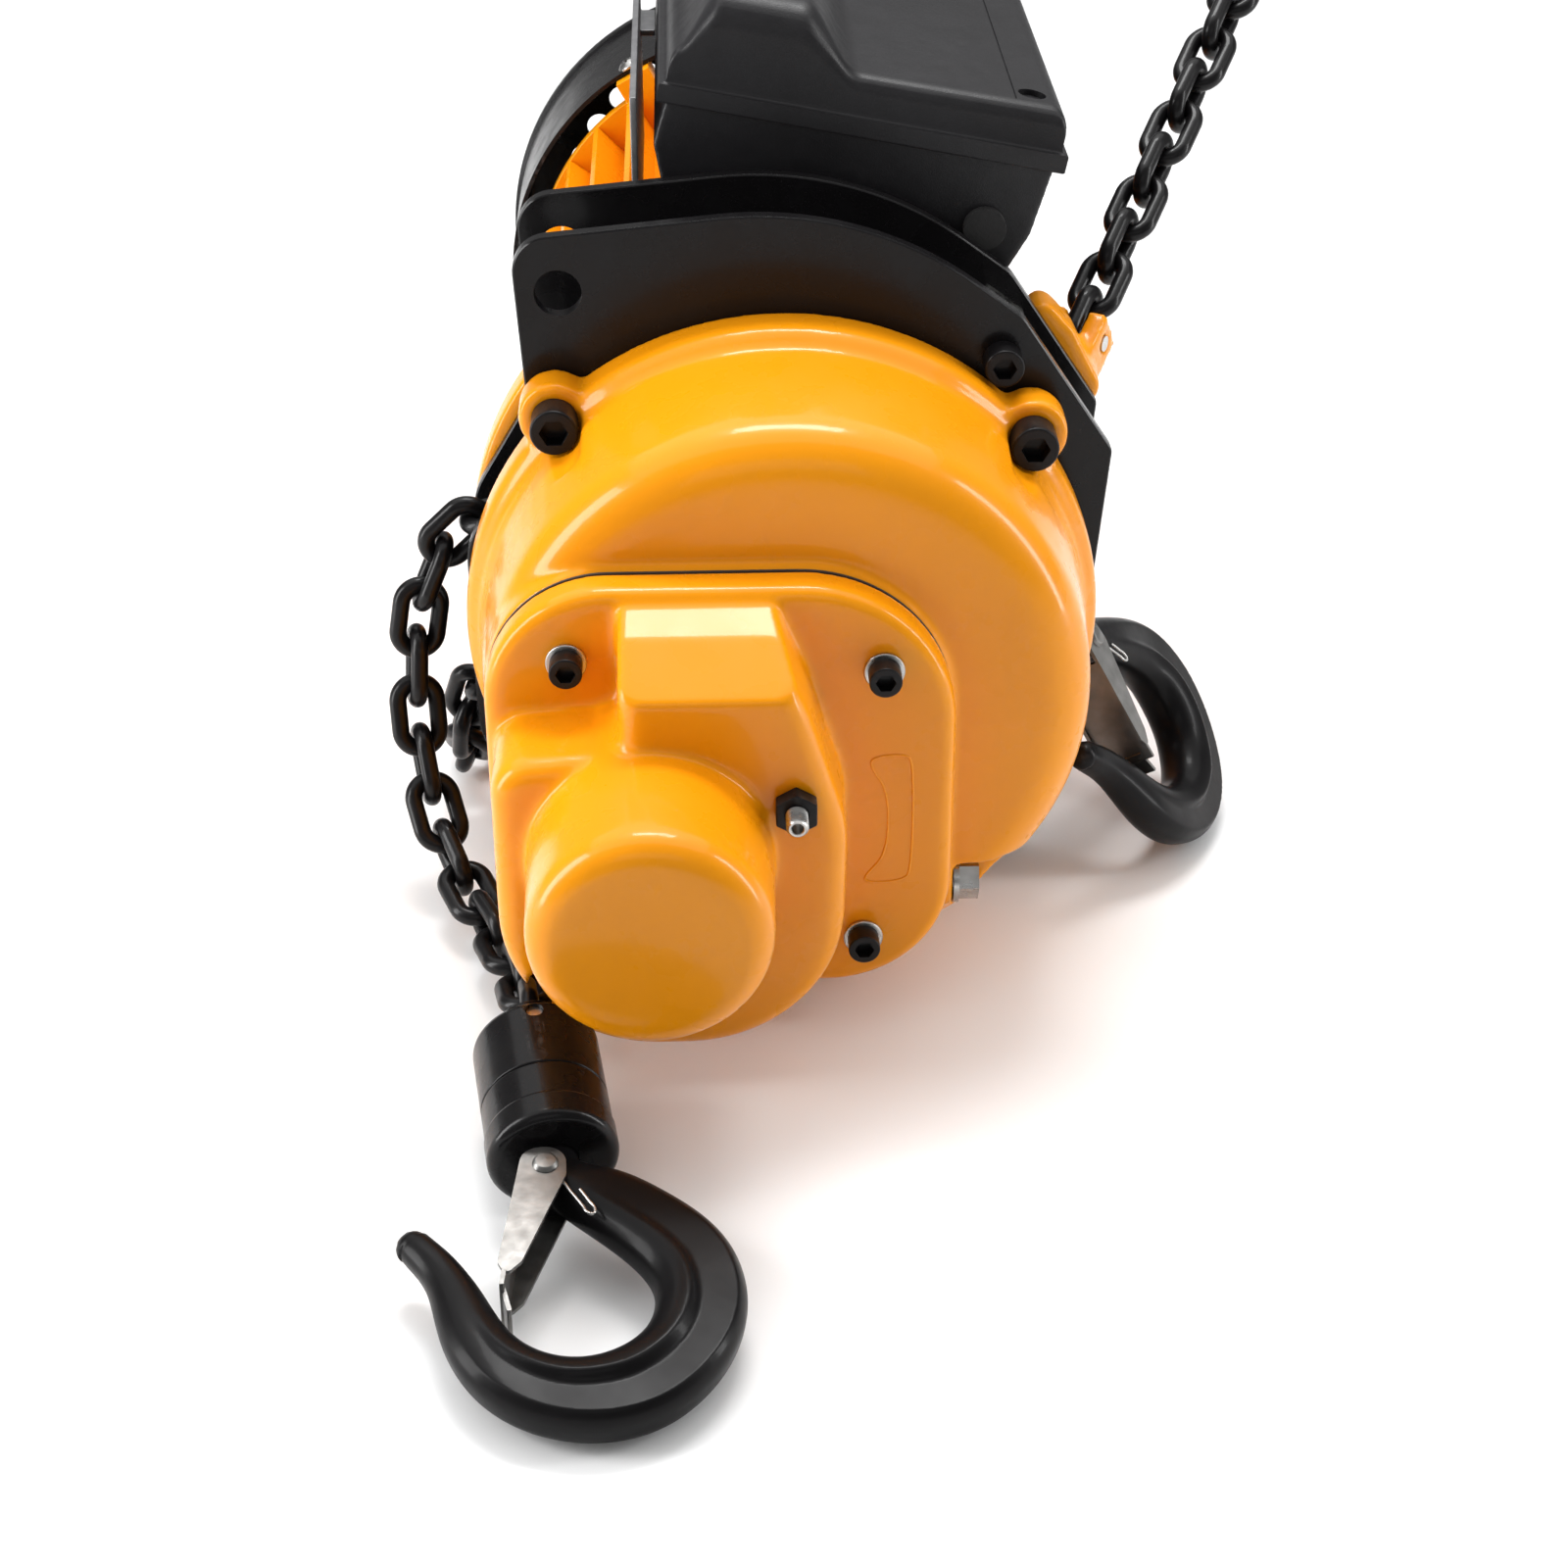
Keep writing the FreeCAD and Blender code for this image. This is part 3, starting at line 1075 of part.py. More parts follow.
def suspension_yoke():
    body = block(-14, 14, -19.4, 19.4, -YOKE_HALF, YOKE_HALF)
    uprights = [edge for edge in body.Edges if edge.BoundBox.ZLength > 20]
    body = body.makeFillet(6, uprights)
    trunnions = rod_y(YOKE_PIN_R, -26, 26)
    body = fuse_all([body, trunnions]).cut(rod_z(NECK_R + RUNNING_GAP, -40, 40))
    return place(body, yoke_placement())


# ---------------------------------------------------------------- nodes
def build_nodes():
    block_at = block_placement()
    hook_at = block_at.multiply(block_hook_offset())
    top_at = top_hook_placement()
    up_the_chain = end_link_placement(block_at)
    load_links = chain_run(up_the_chain, LOAD_ROUTE, LOAD_LINKS, LOAD_TWIST)
    slack_links = [slack_start()] + chain_run(slack_start(), SLACK_ROUTE, SLACK_LINKS)
    nodes = {
        "front_plate": side_plate(0.0),
        "rear_plate": side_plate(REAR_Y),
        "plate_spacers": plate_spacers(),
        "frame_bolts": frame_bolts(),
        "plate_bolt": plate_bolt(),
        "gear_case": gear_case(),
        "case_gasket": case_gasket(),
        "gear_cover": gear_cover(),
        "cover_bolts": cover_bolts(),
        "cover_washers": cover_washers(),
        "adjuster_screw": adjuster_screw(),
        "adjuster_nut": adjuster_nut(),
        "clutch_springs": clutch_springs(),
        "clutch_pad": clutch_pad(),
        "drain_plug": drain_plug(),
        "load_sheave": load_sheave(),
        "output_gear": output_gear(),
        "sheave_bearings": sheave_bearings(),
        "intermediate_shaft": intermediate_shaft(),
        "intermediate_gear": intermediate_gear(),
        "intermediate_bearings": intermediate_bearings(),
        "chain_guide": chain_guide(),
        "limit_lever": limit_lever(),
        "motor_flange": motor_flange(),
        "motor_housing": motor_housing(),
        "stator": stator(),
        "rotor": rotor(),
        "motor_shaft": motor_shaft(),
        "motor_bearings": motor_bearings(),
        "end_shield": end_shield(),
        "brake_disc": brake_disc(),
        "brake_armature": brake_armature(),
        "brake_coil": brake_coil(),
        "fan": fan(),
        "fan_cover": fan_cover(),
        "fan_cover_screws": fan_cover_screws(),
        "box_base": box_base(),
        "box_gasket": box_gasket(),
        "box_lid": box_lid(),
        "box_screws": box_screws(),
        "box_bracket": box_bracket(),
        "box_plugs": box_plugs(),
        "mounting_plate": mounting_plate(),
        "capacitor": capacitor(),
        "contactor": contactor(),
        "terminal_block": terminal_block(),
        "load_chain": chain_solids(load_links),
        "slack_chain": chain_solids(slack_links),
        "tail_chain": tail_chain(),
        "tail_ring": tail_ring(),
        "frame_pins": group([anchor_pin(), limit_pin()]),
        "end_link": place(chain_link(), end_link_placement(block_at)),
        "hook_block": group([place(block_upper(), block_at)]),
        "hook_block_base": place(block_lower(), block_at),
        "hook_block_inside": group([place(block_pin(), block_at), place(block_bearing(), block_at)]),
        "load_hook": group([place(hook(29.0, LOAD_SHOULDER), hook_at),
                            place(hook_nut(HOOK_SEAT_DEPTH + 17.6), hook_at)]),
        "load_latch": group([place(latch(), hook_at), place(latch_rivet(), hook_at)]),
    }
    nodes["suspension_yoke"] = suspension_yoke()
    nodes["suspension_hook"] = group([place(hook(40.0), top_at),
                                      place(hook_nut(HOOK_SEAT_DEPTH + 25.0), top_at)])
    nodes["suspension_latch"] = group([place(latch(), top_at), place(latch_rivet(), top_at)])
    return nodes


def main():
    os.makedirs("parts", exist_ok=True)
    box = FreeCAD.BoundBox()
    for name, shape in build_nodes().items():
        shape.translate(ROW_ORIGIN * -1.0)
        box.add(shape.BoundBox)
        shape.exportStep("parts/%s.step" % name)
    print("box", [round(value, 3) for value in (box.XMin, box.YMin, box.ZMin, box.XMax, box.YMax, box.ZMax)])


main()
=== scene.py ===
import json
import math
import bmesh
import bpy
from mathutils import Matrix, Vector, kdtree


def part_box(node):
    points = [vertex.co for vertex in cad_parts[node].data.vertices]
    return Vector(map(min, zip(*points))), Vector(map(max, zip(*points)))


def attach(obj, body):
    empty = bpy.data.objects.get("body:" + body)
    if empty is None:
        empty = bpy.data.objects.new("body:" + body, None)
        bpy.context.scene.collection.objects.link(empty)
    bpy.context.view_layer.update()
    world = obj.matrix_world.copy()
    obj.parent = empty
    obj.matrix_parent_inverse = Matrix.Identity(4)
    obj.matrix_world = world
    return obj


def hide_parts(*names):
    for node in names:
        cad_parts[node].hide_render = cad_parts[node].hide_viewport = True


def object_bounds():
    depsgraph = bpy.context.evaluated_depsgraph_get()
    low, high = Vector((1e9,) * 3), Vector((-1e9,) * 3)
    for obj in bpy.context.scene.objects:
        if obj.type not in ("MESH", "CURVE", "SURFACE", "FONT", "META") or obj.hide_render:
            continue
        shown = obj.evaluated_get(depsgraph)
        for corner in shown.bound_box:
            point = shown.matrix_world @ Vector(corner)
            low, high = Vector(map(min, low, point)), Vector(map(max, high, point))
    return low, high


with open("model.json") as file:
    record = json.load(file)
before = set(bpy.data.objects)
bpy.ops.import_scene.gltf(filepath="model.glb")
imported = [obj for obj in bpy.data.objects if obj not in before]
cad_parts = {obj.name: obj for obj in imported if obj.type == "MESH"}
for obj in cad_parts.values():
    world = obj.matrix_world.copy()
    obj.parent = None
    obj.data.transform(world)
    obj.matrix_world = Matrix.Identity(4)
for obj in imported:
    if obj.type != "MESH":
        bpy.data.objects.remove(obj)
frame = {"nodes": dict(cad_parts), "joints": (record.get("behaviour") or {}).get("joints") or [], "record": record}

cad_low, cad_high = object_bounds()
NODES = frame["nodes"]
RECORD = frame["record"]
JOINTS = {joint["name"]: joint for joint in frame["joints"]}
BODY_OF = {node: body for body, members in RECORD["behaviour"]["bodies"].items() for node in members}
SLOT_OF = {part["node"]: part["material_slot"] for part in RECORD["subparts"]}


# ---------------------------------------------------------------- materials
def new_material(name):
    """Material with its node tree, its shader and the texture place in object space."""
    material = bpy.data.materials.new(name)
    material.use_nodes = True
    tree = material.node_tree
    shader = tree.nodes["Principled BSDF"]
    place = tree.nodes.new("ShaderNodeTexCoord").outputs["Object"]
    return material, tree, shader, place


def noise(tree, place, scale, detail=3.0, roughness=0.5, stretch=(1, 1, 1)):
    """Noise texture value, stretched along one axis for a grain."""
    mapping = tree.nodes.new("ShaderNodeMapping")
    mapping.inputs["Scale"].default_value = stretch
    texture = tree.nodes.new("ShaderNodeTexNoise")
    texture.inputs["Scale"].default_value = scale
    texture.inputs["Detail"].default_value = detail
    texture.inputs["Roughness"].default_value = roughness
    tree.links.new(place, mapping.inputs["Vector"])
    tree.links.new(mapping.outputs["Vector"], texture.inputs["Vector"])
    return texture.outputs["Fac"]


def spread(tree, value, low, high, start=0.3, end=0.7):
    """Remap a texture value to a range."""
    remap = tree.nodes.new("ShaderNodeMapRange")
    remap.inputs["From Min"].default_value = start
    remap.inputs["From Max"].default_value = end
    remap.inputs["To Min"].default_value = low
    remap.inputs["To Max"].default_value = high
    tree.links.new(value, remap.inputs["Value"])
    return remap.outputs["Result"]


def mix_colours(tree, factor, first, second):
    """Blend of two plain colours by a texture value."""
    mix = tree.nodes.new("ShaderNodeMix")
    mix.data_type = "RGBA"
    mix.inputs["A"].default_value = (*first, 1)
    mix.inputs["B"].default_value = (*second, 1)
    tree.links.new(factor, mix.inputs["Factor"])
    return mix.outputs["Result"]


def bump(tree, shader, layers):
    """Chain of bump layers: (height value, distance in metres, strength)."""
    normal = None
    for height, distance, strength in layers:
        node = tree.nodes.new("ShaderNodeBump")
        node.inputs["Distance"].default_value = distance
        node.inputs["Strength"].default_value = strength
        tree.links.new(height, node.inputs["Height"])
        if normal is not None:
            tree.links.new(normal, node.inputs["Normal"])
        normal = node.outputs["Normal"]
    tree.links.new(normal, shader.inputs["Normal"])


def edge_wear_and_highlight(tree, place, low, high, scale=260.0):
    """Mask that is 1 on sharp convex edges, broken up by noise: partly edge wear, partly a painted edge highlight.
    """
    point = tree.nodes.new("ShaderNodeNewGeometry").outputs["Pointiness"]
    edge = spread(tree, point, 0.0, 1.0, low, high)
    patches = spread(tree, noise(tree, place, scale), 0.0, 1.0, 0.42, 0.62)
    product = tree.nodes.new("ShaderNodeMath")
    product.operation = "MULTIPLY"
    tree.links.new(edge, product.inputs[0])
    tree.links.new(patches, product.inputs[1])
    return product.outputs[0]


def enamel():
    """Glossy yellow paint with a faint orange peel."""
    material, tree, shader, place = new_material("yellow_enamel_paint")
    clouds = spread(tree, noise(tree, place, 9.0, 2.0), 0.0, 1.0)
    colour = mix_colours(tree, clouds, (0.74, 0.255, 0.002), (0.80, 0.285, 0.003))
    tree.links.new(colour, shader.inputs["Base Color"])
    tree.links.new(spread(tree, noise(tree, place, 60.0), 0.24, 0.34), shader.inputs["Roughness"])
    shader.inputs["Coat Weight"].default_value = 0.30
    shader.inputs["Coat Roughness"].default_value = 0.08
    shader.inputs["Specular IOR Level"].default_value = 0.15
    peel = noise(tree, place, 330.0, 2.0)
    waves = noise(tree, place, 38.0, 1.0)
    bump(tree, shader, [(waves, 0.0006, 0.12), (peel, 0.00012, 0.25)])
    return material


def black_paint(name, roughness, coat, grain, shine=0.14):
    """Black coating on steel, paler on sharp convex edges: partly edge wear, partly a painted highlight where the
    edges catch the light.
    """
    material, tree, shader, place = new_material(name)
    # Paler colour on sharp convex edges: partly edge wear, partly a painted highlight where the edges catch the
    # light.
    worn_and_highlit_edge_mask = edge_wear_and_highlight(tree, place, 0.53, 0.60)
    base = mix_colours(tree, noise(tree, place, 22.0), (0.0035, 0.0032, 0.0035), (0.0065, 0.006, 0.0065))
    worn_and_highlit_edge_colour = mix_colours(tree, worn_and_highlit_edge_mask, (0, 0, 0), (0.05, 0.05, 0.05))
    layered = tree.nodes.new("ShaderNodeMix")
    layered.data_type = "RGBA"
    layered.blend_type = "ADD"
    layered.inputs["Factor"].default_value = 0.5
    tree.links.new(base, layered.inputs["A"])
    tree.links.new(worn_and_highlit_edge_colour, layered.inputs["B"])
    tree.links.new(layered.outputs["Result"], shader.inputs["Base Color"])
    tree.links.new(spread(tree, noise(tree, place, 75.0), roughness - 0.05, roughness + 0.07),
                   shader.inputs["Roughness"])
    shader.inputs["Coat Weight"].default_value = coat
    shader.inputs["Coat Roughness"].default_value = 0.12
    shader.inputs["Specular IOR Level"].default_value = shine
    bump(tree, shader, [(noise(tree, place, grain, 4.0), 0.00025, 0.22)])
    return material


def moulded_plastic(name, first, second, roughness, grain=1500.0):
    """Plastic, rubber or paper between two colours, with a fine grain."""
    material, tree, shader, place = new_material(name)
    colour = mix_colours(tree, spread(tree, noise(tree, place, 30.0), 0, 1), first, second)
    tree.links.new(colour, shader.inputs["Base Color"])
    tree.links.new(spread(tree, noise(tree, place, 140.0), roughness - 0.04, roughness + 0.05),
                   shader.inputs["Roughness"])
    shader.inputs["Specular IOR Level"].default_value = 0.32
    bump(tree, shader, [(noise(tree, place, grain, 2.0), 0.0002, 0.30)])
    return material


def metal(name, first, second, roughness, metallic=1.0, grain=300.0, stretch=(1, 1, 1)):
    """Bare or plated metal between two colours, with grinding or rolling marks."""
    material, tree, shader, place = new_material(name)
    colour = mix_colours(tree, spread(tree, noise(tree, place, 110.0), 0, 1), first, second)
    tree.links.new(colour, shader.inputs["Base Color"])
    shader.inputs["Metallic"].default_value = metallic
    tree.links.new(spread(tree, noise(tree, place, 190.0), roughness - 0.06, roughness + 0.10),
                   shader.inputs["Roughness"])
    bump(tree, shader, [(noise(tree, place, grain, 3.0, 0.6, stretch), 0.0002, 0.25)])
    return material


MATERIALS = {
    "yellow_enamel": enamel(),
    "black_paint": black_paint("black_gloss_paint", 0.26, 0.12, 420.0),
    "black_forging": black_paint("black_forged_steel", 0.34, 0.05, 170.0, 0.09),
    "black_chain": black_paint("black_chain_steel", 0.34, 0.14, 500.0),
    "box_plastic": moulded_plastic("box_satin_plastic", (0.0085, 0.0080, 0.0090),
                                   (0.012, 0.0115, 0.013), 0.40),
    "black_screw": black_paint("black_oxide_screw", 0.38, 0.10, 900.0),
    "zinc_plate": metal("bright_zinc", (0.36, 0.355, 0.345), (0.50, 0.495, 0.48), 0.28,
                        1.0, 350.0, (1, 1, 5)),
    "latch_steel": metal("stamped_latch_steel", (0.17, 0.167, 0.160), (0.25, 0.245, 0.235), 0.40,
                         1.0, 350.0, (1, 1, 5)),
    "machined_steel": metal("machined_steel", (0.42, 0.42, 0.43), (0.58, 0.58, 0.58), 0.30,
                            1.0, 220.0, (1, 8, 1)),
    "hardened_gear": metal("ground_gear_steel", (0.30, 0.30, 0.31), (0.46, 0.45, 0.45), 0.28,
                           1.0, 260.0, (6, 1, 1)),
    "laminations": metal("varnished_laminations", (0.14, 0.11, 0.09), (0.22, 0.19, 0.17), 0.45,
                         0.6, 400.0, (1, 30, 1)),
    "grey_sheet": metal("grey_sheet_metal", (0.17, 0.17, 0.175), (0.23, 0.23, 0.235), 0.45,
                        0.7, 240.0, (1, 1, 6)),
    "gasket_paper": moulded_plastic("gasket_paper", (0.030, 0.026, 0.022), (0.055, 0.050, 0.045),
                                    0.75, 700.0),
    "black_rubber": moulded_plastic("black_rubber", (0.014, 0.014, 0.014), (0.024, 0.023, 0.023),
                                    0.60, 900.0),
    "fan_plastic": moulded_plastic("fan_plastic", (0.030, 0.030, 0.030), (0.045, 0.045, 0.045), 0.50),
    "friction_lining": moulded_plastic("friction_lining", (0.06, 0.05, 0.045), (0.12, 0.10, 0.09),
                                       0.80, 500.0),
    "component_grey": moulded_plastic("component_grey", (0.40, 0.41, 0.42), (0.50, 0.51, 0.52), 0.45),
}


# The latches are duller than the other plated parts.
LOOK_OF = {**SLOT_OF, "load_latch": "latch_steel", "suspension_latch": "latch_steel"}
WELD_GAP = 0.000004


def paint(piece, slot):
    """The material of a slot on a new piece."""
    piece.data.materials.clear()
    piece.data.materials.append(MATERIALS[slot])


def dress_node(node, width):
    """Rounded edges, unless the width is nothing, and a material for a CAD node that stays."""
    piece = NODES[node]
    look = MATERIALS[LOOK_OF[node]]
    for slot in piece.material_slots:
        slot.material = look
    if not piece.material_slots:
        piece.data.materials.append(look)
    weld = piece.modifiers.new("weld", "WELD")
    weld.merge_threshold = WELD_GAP
    if width > 0:
        bevel = piece.modifiers.new("soft_edges", "BEVEL")
        bevel.width = width
        bevel.segments = 2
        bevel.limit_method = "ANGLE"
        bevel.angle_limit = math.radians(32.0)
        bevel.harden_normals = True
    for polygon in piece.data.polygons:
        polygon.use_smooth = True
    smooth = piece.modifiers.new("weighted_normals", "WEIGHTED_NORMAL")
    smooth.keep_sharp = True


# ---------------------------------------------------------------- piece helpers
def smoothstep(low, high, value):
    t = min(max((value - low) / (high - low), 0.0), 1.0)
    return t * t * (3 - 2 * t)


def evaluated_mesh(piece):
    """Mesh of an object after its modifiers or its curve settings."""
    bpy.context.view_layer.update()
    return bpy.data.meshes.new_from_object(piece.evaluated_get(bpy.context.evaluated_depsgraph_get()))


def finished_mesh(build, name):
    """Mesh of a bmesh, with its faces turned outward."""
    bmesh.ops.recalc_face_normals(build, faces=build.faces)
    mesh = bpy.data.meshes.new(name)
    build.to_mesh(mesh)
    build.free()
    return mesh


def wire_mesh(name, curve):
    """Mesh of a round wire along a curve."""
    wire = bpy.data.objects.new(name + "_curve", curve)
    bpy.context.scene.collection.objects.link(wire)
    mesh = evaluated_mesh(wire)
    bpy.data.objects.remove(wire)
    bpy.data.curves.remove(curve)
    return mesh


def add_piece(name, mesh, node_names, body, slot):
    """A new visible piece that stands for CAD nodes and rides on their body."""
    piece = bpy.data.objects.new(name, mesh)
    bpy.context.scene.collection.objects.link(piece)
    for polygon in mesh.polygons:
        polygon.use_smooth = True
    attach(piece, body)
    if node_names:
        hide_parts(*node_names)
    paint(piece, slot)
    return piece


def softened(name, node, voxel, rounds):
    """Cast or moulded version of a CAD node: the same solid with flowing, rounded edges."""
    work = bpy.data.objects.new(name + "_work", NODES[node].data.copy())
    bpy.context.scene.collection.objects.link(work)
    remesh = work.modifiers.new("remesh", "REMESH")
    remesh.mode = "VOXEL"
    remesh.voxel_size = voxel * 1.0
    flow = work.modifiers.new("flow", "SMOOTH")
    flow.factor = 0.5
    flow.iterations = rounds // 1
    mesh = evaluated_mesh(work)
    old = work.data
    bpy.data.objects.remove(work)
    bpy.data.meshes.remove(old)
    mesh.name = name
    return add_piece(name, mesh, [node], BODY_OF[node], SLOT_OF[node])


# ---------------------------------------------------------------- moulded lid
# Lid coordinates are u across, y along and w up, from the middle of the joint with the box.
BOX_TILT = math.radians(11.0)
LID_ORIGIN = Vector((-0.0104, 0.0, 0.2990))
LID_WALL = 0.078                      # half width inside the lip
LID_LIP_STEP = 0.0022
LID_NEAR = 0.0148 + LID_LIP_STEP
LID_FAR = 0.2086 - LID_LIP_STEP
LID_TOP = 0.0415                      # height of the tall bulge
LID_FLAT = 0.0200
LID_SIDE_ROLL = 0.008
LID_END_ROLL = 0.0065
LID_BULGE_ROLL = 0.007                # added to the end roll where the lid is tall
LID_FLOOR = 0.004
LID_LIP_PROFILE = [
    (0.0, 0.0062), (0.0004, 0.0052), (0.0012, 0.0046), (0.0024, 0.0043), (0.0027, 0.0040),
    (0.0028, 0.0034), (0.0028, -0.0022), (0.0026, -0.0027), (0.0020, -0.0030), (0.0, -0.0030)]
SEAM_U = 0.0565
SEAM_DEPTH = 0.0005
SEAM_STEPS = [-0.0005, -0.00025, 0.00025, 0.0005]
LID_SCREWS = [
    (0.064, 0.0326, 0.0185), (0.064, 0.1906, 0.0185), (-0.055, 0.0326, 0.0385), (-0.055, 0.1906, 0.0385)]
SCREW_HOLE_RADIUS = 0.0056
SCREW_HOLE_HEIGHT = 0.04


def lid_height(u):
    """Height of the lid's top above the joint, from the tall bulge down to the flat side."""
    bulge = smoothstep(-0.0755, -0.062, u) * (1 - smoothstep(-0.031, -0.005, u))
    flat = LID_FLAT + 0.0008 * smoothstep(-0.005, LID_WALL, u)
    return flat + (LID_TOP - flat) * bulge


def rolled(distance, radius):
    """Drop of a rounded edge at this distance in from the wall."""
    if distance >= radius:
        return 0.0
    return radius - math.sqrt(max(radius * radius - (radius - distance) ** 2, 0.0))


def spaced(start, end, extra):
    """Even steps from start to end, closer together at both, with some values added."""
    count = 130
    values = [start + (end - start) * k / count for k in range(count + 1)]
    values += [edge + sign * 0.0003 * k * k for edge, sign in ((start, 1), (end, -1)) for k in range(7)]
    return sorted(set(round(value, 6) for value in values + extra if start <= value <= end))


def lid_point(u, y, w):
    """Lid coordinates to the row frame."""
    return LID_ORIGIN + Vector((u * math.cos(BOX_TILT) + w * math.sin(BOX_TILT), y,
                                w * math.cos(BOX_TILT) - u * math.sin(BOX_TILT)))


def lid_surface(build, across, lengths):
    """Top of the lid as a grid of vertices, rolled over at its four walls."""
    grid = []
    for u in across:
        height = lid_height(u)
        end_radius = LID_END_ROLL + LID_BULGE_ROLL * smoothstep(0.021, 0.04, height)
        side_roll = rolled(LID_WALL - abs(u), LID_SIDE_ROLL)
        row = []
        for y in lengths:
            end_roll = rolled(min(y - LID_NEAR, LID_FAR - y), end_radius)
            w = height - math.sqrt(end_roll ** 2 + side_roll ** 2)
            if abs(u - SEAM_U) < 0.0003 and end_roll == 0.0:
                w -= SEAM_DEPTH
            row.append(build.verts.new(lid_point(u, y, max(w, LID_FLOOR))))
        grid.append(row)
    for row, following in zip(grid, grid[1:]):
        for j in range(len(lengths) - 1):
            build.faces.new((row[j], following[j], following[j + 1], row[j + 1]))
    return grid


def lid_lip(build, grid, across, lengths):
    """Lip round the joint, from the rim of the grid outward and down."""
    last_u, last_y = len(across) - 1, len(lengths) - 1
    rim = [(i, 0) for i in range(last_u + 1)]
    rim += [(last_u, j) for j in range(1, last_y + 1)]
    rim += [(i, last_y) for i in range(last_u - 1, -1, -1)]
    rim += [(0, j) for j in range(last_y - 1, 0, -1)]
    rings = [[grid[i][j] for i, j in rim]]
    for reach, w in LID_LIP_PROFILE:
        reach_y = min(reach, LID_LIP_STEP)
        ring = []
        for i, j in rim:
            u = across[i] + (reach if i == last_u else -reach if i == 0 else 0.0)
            y = lengths[j] + (reach_y if j == last_y else -reach_y if j == 0 else 0.0)
            ring.append(build.verts.new(lid_point(u, y, w)))
        rings.append(ring)
    for upper, lower in zip(rings, rings[1:]):
        for k in range(len(rim)):
            following = (k + 1) % len(rim)
            build.faces.new((upper[k], lower[k], lower[following], upper[following]))
    build.faces.new(list(reversed(rings[-1])))


def cut_screw_holes(lid):
    """Recesses for the four lid screws."""
    build = bmesh.new()
    axis = (lid_point(0, 0, 1) - lid_point(0, 0, 0)).normalized()
    turn = axis.to_track_quat("Z", "X").to_matrix().to_4x4()
    for u, y, seat in LID_SCREWS:
        middle = lid_point(u, y, seat + SCREW_HOLE_HEIGHT / 2)
        bmesh.ops.create_cone(build, cap_ends=True, segments=40, radius1=SCREW_HOLE_RADIUS,
                              radius2=SCREW_HOLE_RADIUS, depth=SCREW_HOLE_HEIGHT,
                              matrix=Matrix.Translation(middle) @ turn)
    cutter_mesh = bpy.data.meshes.new("lid_cutter")
    build.to_mesh(cutter_mesh)
    build.free()
    cutter = bpy.data.objects.new("lid_cutter", cutter_mesh)
    bpy.context.scene.collection.objects.link(cutter)
    holes = lid.modifiers.new("screw_holes", "BOOLEAN")
    holes.object = cutter
    holes.operation = "DIFFERENCE"
    cut = evaluated_mesh(lid)
    lid.modifiers.clear()
    lid.data = cut
    bpy.data.objects.remove(cutter)
    bpy.data.meshes.remove(cutter_mesh)
    cut.materials.clear()
    cut.materials.append(MATERIALS[SLOT_OF["box_lid"]])
    for polygon in cut.polygons:
        polygon.use_smooth = True
    cut.set_sharp_from_angle(angle=math.radians(40))


def moulded_lid():
    across = spaced(-LID_WALL, LID_WALL, [SEAM_U + step for step in SEAM_STEPS])
    lengths = spaced(LID_NEAR, LID_FAR, [])
    build = bmesh.new()
    grid = lid_surface(build, across, lengths)
    lid_lip(build, grid, across, lengths)
    mesh = finished_mesh(build, "moulded_lid")
    lid = add_piece("moulded_lid", mesh, ["box_lid"], BODY_OF["box_lid"], SLOT_OF["box_lid"])
    cut_screw_holes(lid)


moulded_lid()


# ---------------------------------------------------------------- cast and moulded bodies
# Voxel size in metres and rounds of smoothing of each softened node.
CAST = {"gear_case": (0.0013, 16), "gear_cover": (0.0011, 26), "motor_flange": (0.0015, 10)}
MOULDED = {"box_base": (0.0012, 8)}
for node, (voxel, rounds) in {**CAST, **MOULDED}.items():
    softened(node + "_body", node, voxel, rounds)


# ---------------------------------------------------------------- forged hooks
# The hook's plane is X to the tip side and Z up the shank, from the centre of its bowl.
# Centre line points and section widths are in millimetres, one width for each point.
HOOK_CENTRE_LINE = [
    (-1, 58), (-10, 46), (-25, 30.5), (-37.5, 12), (-39.5, -8), (-31, -26), (-13, -38), (9, -37.5), (27, -25),
    (36, -7), (40, 10), (46, 25), (52, 35)]
HOOK_WIDTHS = [17, 22, 27, 30, 30, 30, 30, 27, 24, 21, 17, 12.6, 10.4]
HOOK_POINT_STEP = 20.0                # about the distance between the points, in millimetres
HOOK_SOFTENING = (0.0009, 10)         # voxel size in metres and rounds of smoothing
HOOK_TOP = 0.052                      # above this the shank stays as it is
WEB_HALF = 0.0082                     # half thickness of the flat outer side
WEB_STEP = (-0.12, 0.02)              # where the section steps down, in widths from the centre line
WEB_START = (0.8, 3.0)                # where the step grows in and fades out, counted in points
WEB_END = (7.0, 10.0)
TIP_RADIUS = 0.0060
TIP_GROWTH = (10.2, 11.9)
LATCH_PIVOT = (0.004, 0.056)          # in the hook's plane, from the centre of its bowl


def hook_frame(swivel, latch):
    """Placement of a hook: X to the tip side, Y along the latch rivet, Z up the shank."""
    up = Vector(JOINTS[swivel]["axis"]).normalized()
    rivet = Vector(JOINTS[latch]["axis"]).normalized()
    across = rivet.cross(up).normalized()
    pivot = Vector(JOINTS[latch]["pos_m"])
    bowl = pivot - across * LATCH_PIVOT[0] - up * LATCH_PIVOT[1]
    frame_matrix = Matrix((across, rivet, up)).transposed().to_4x4()
    frame_matrix.translation = bowl
    return frame_matrix


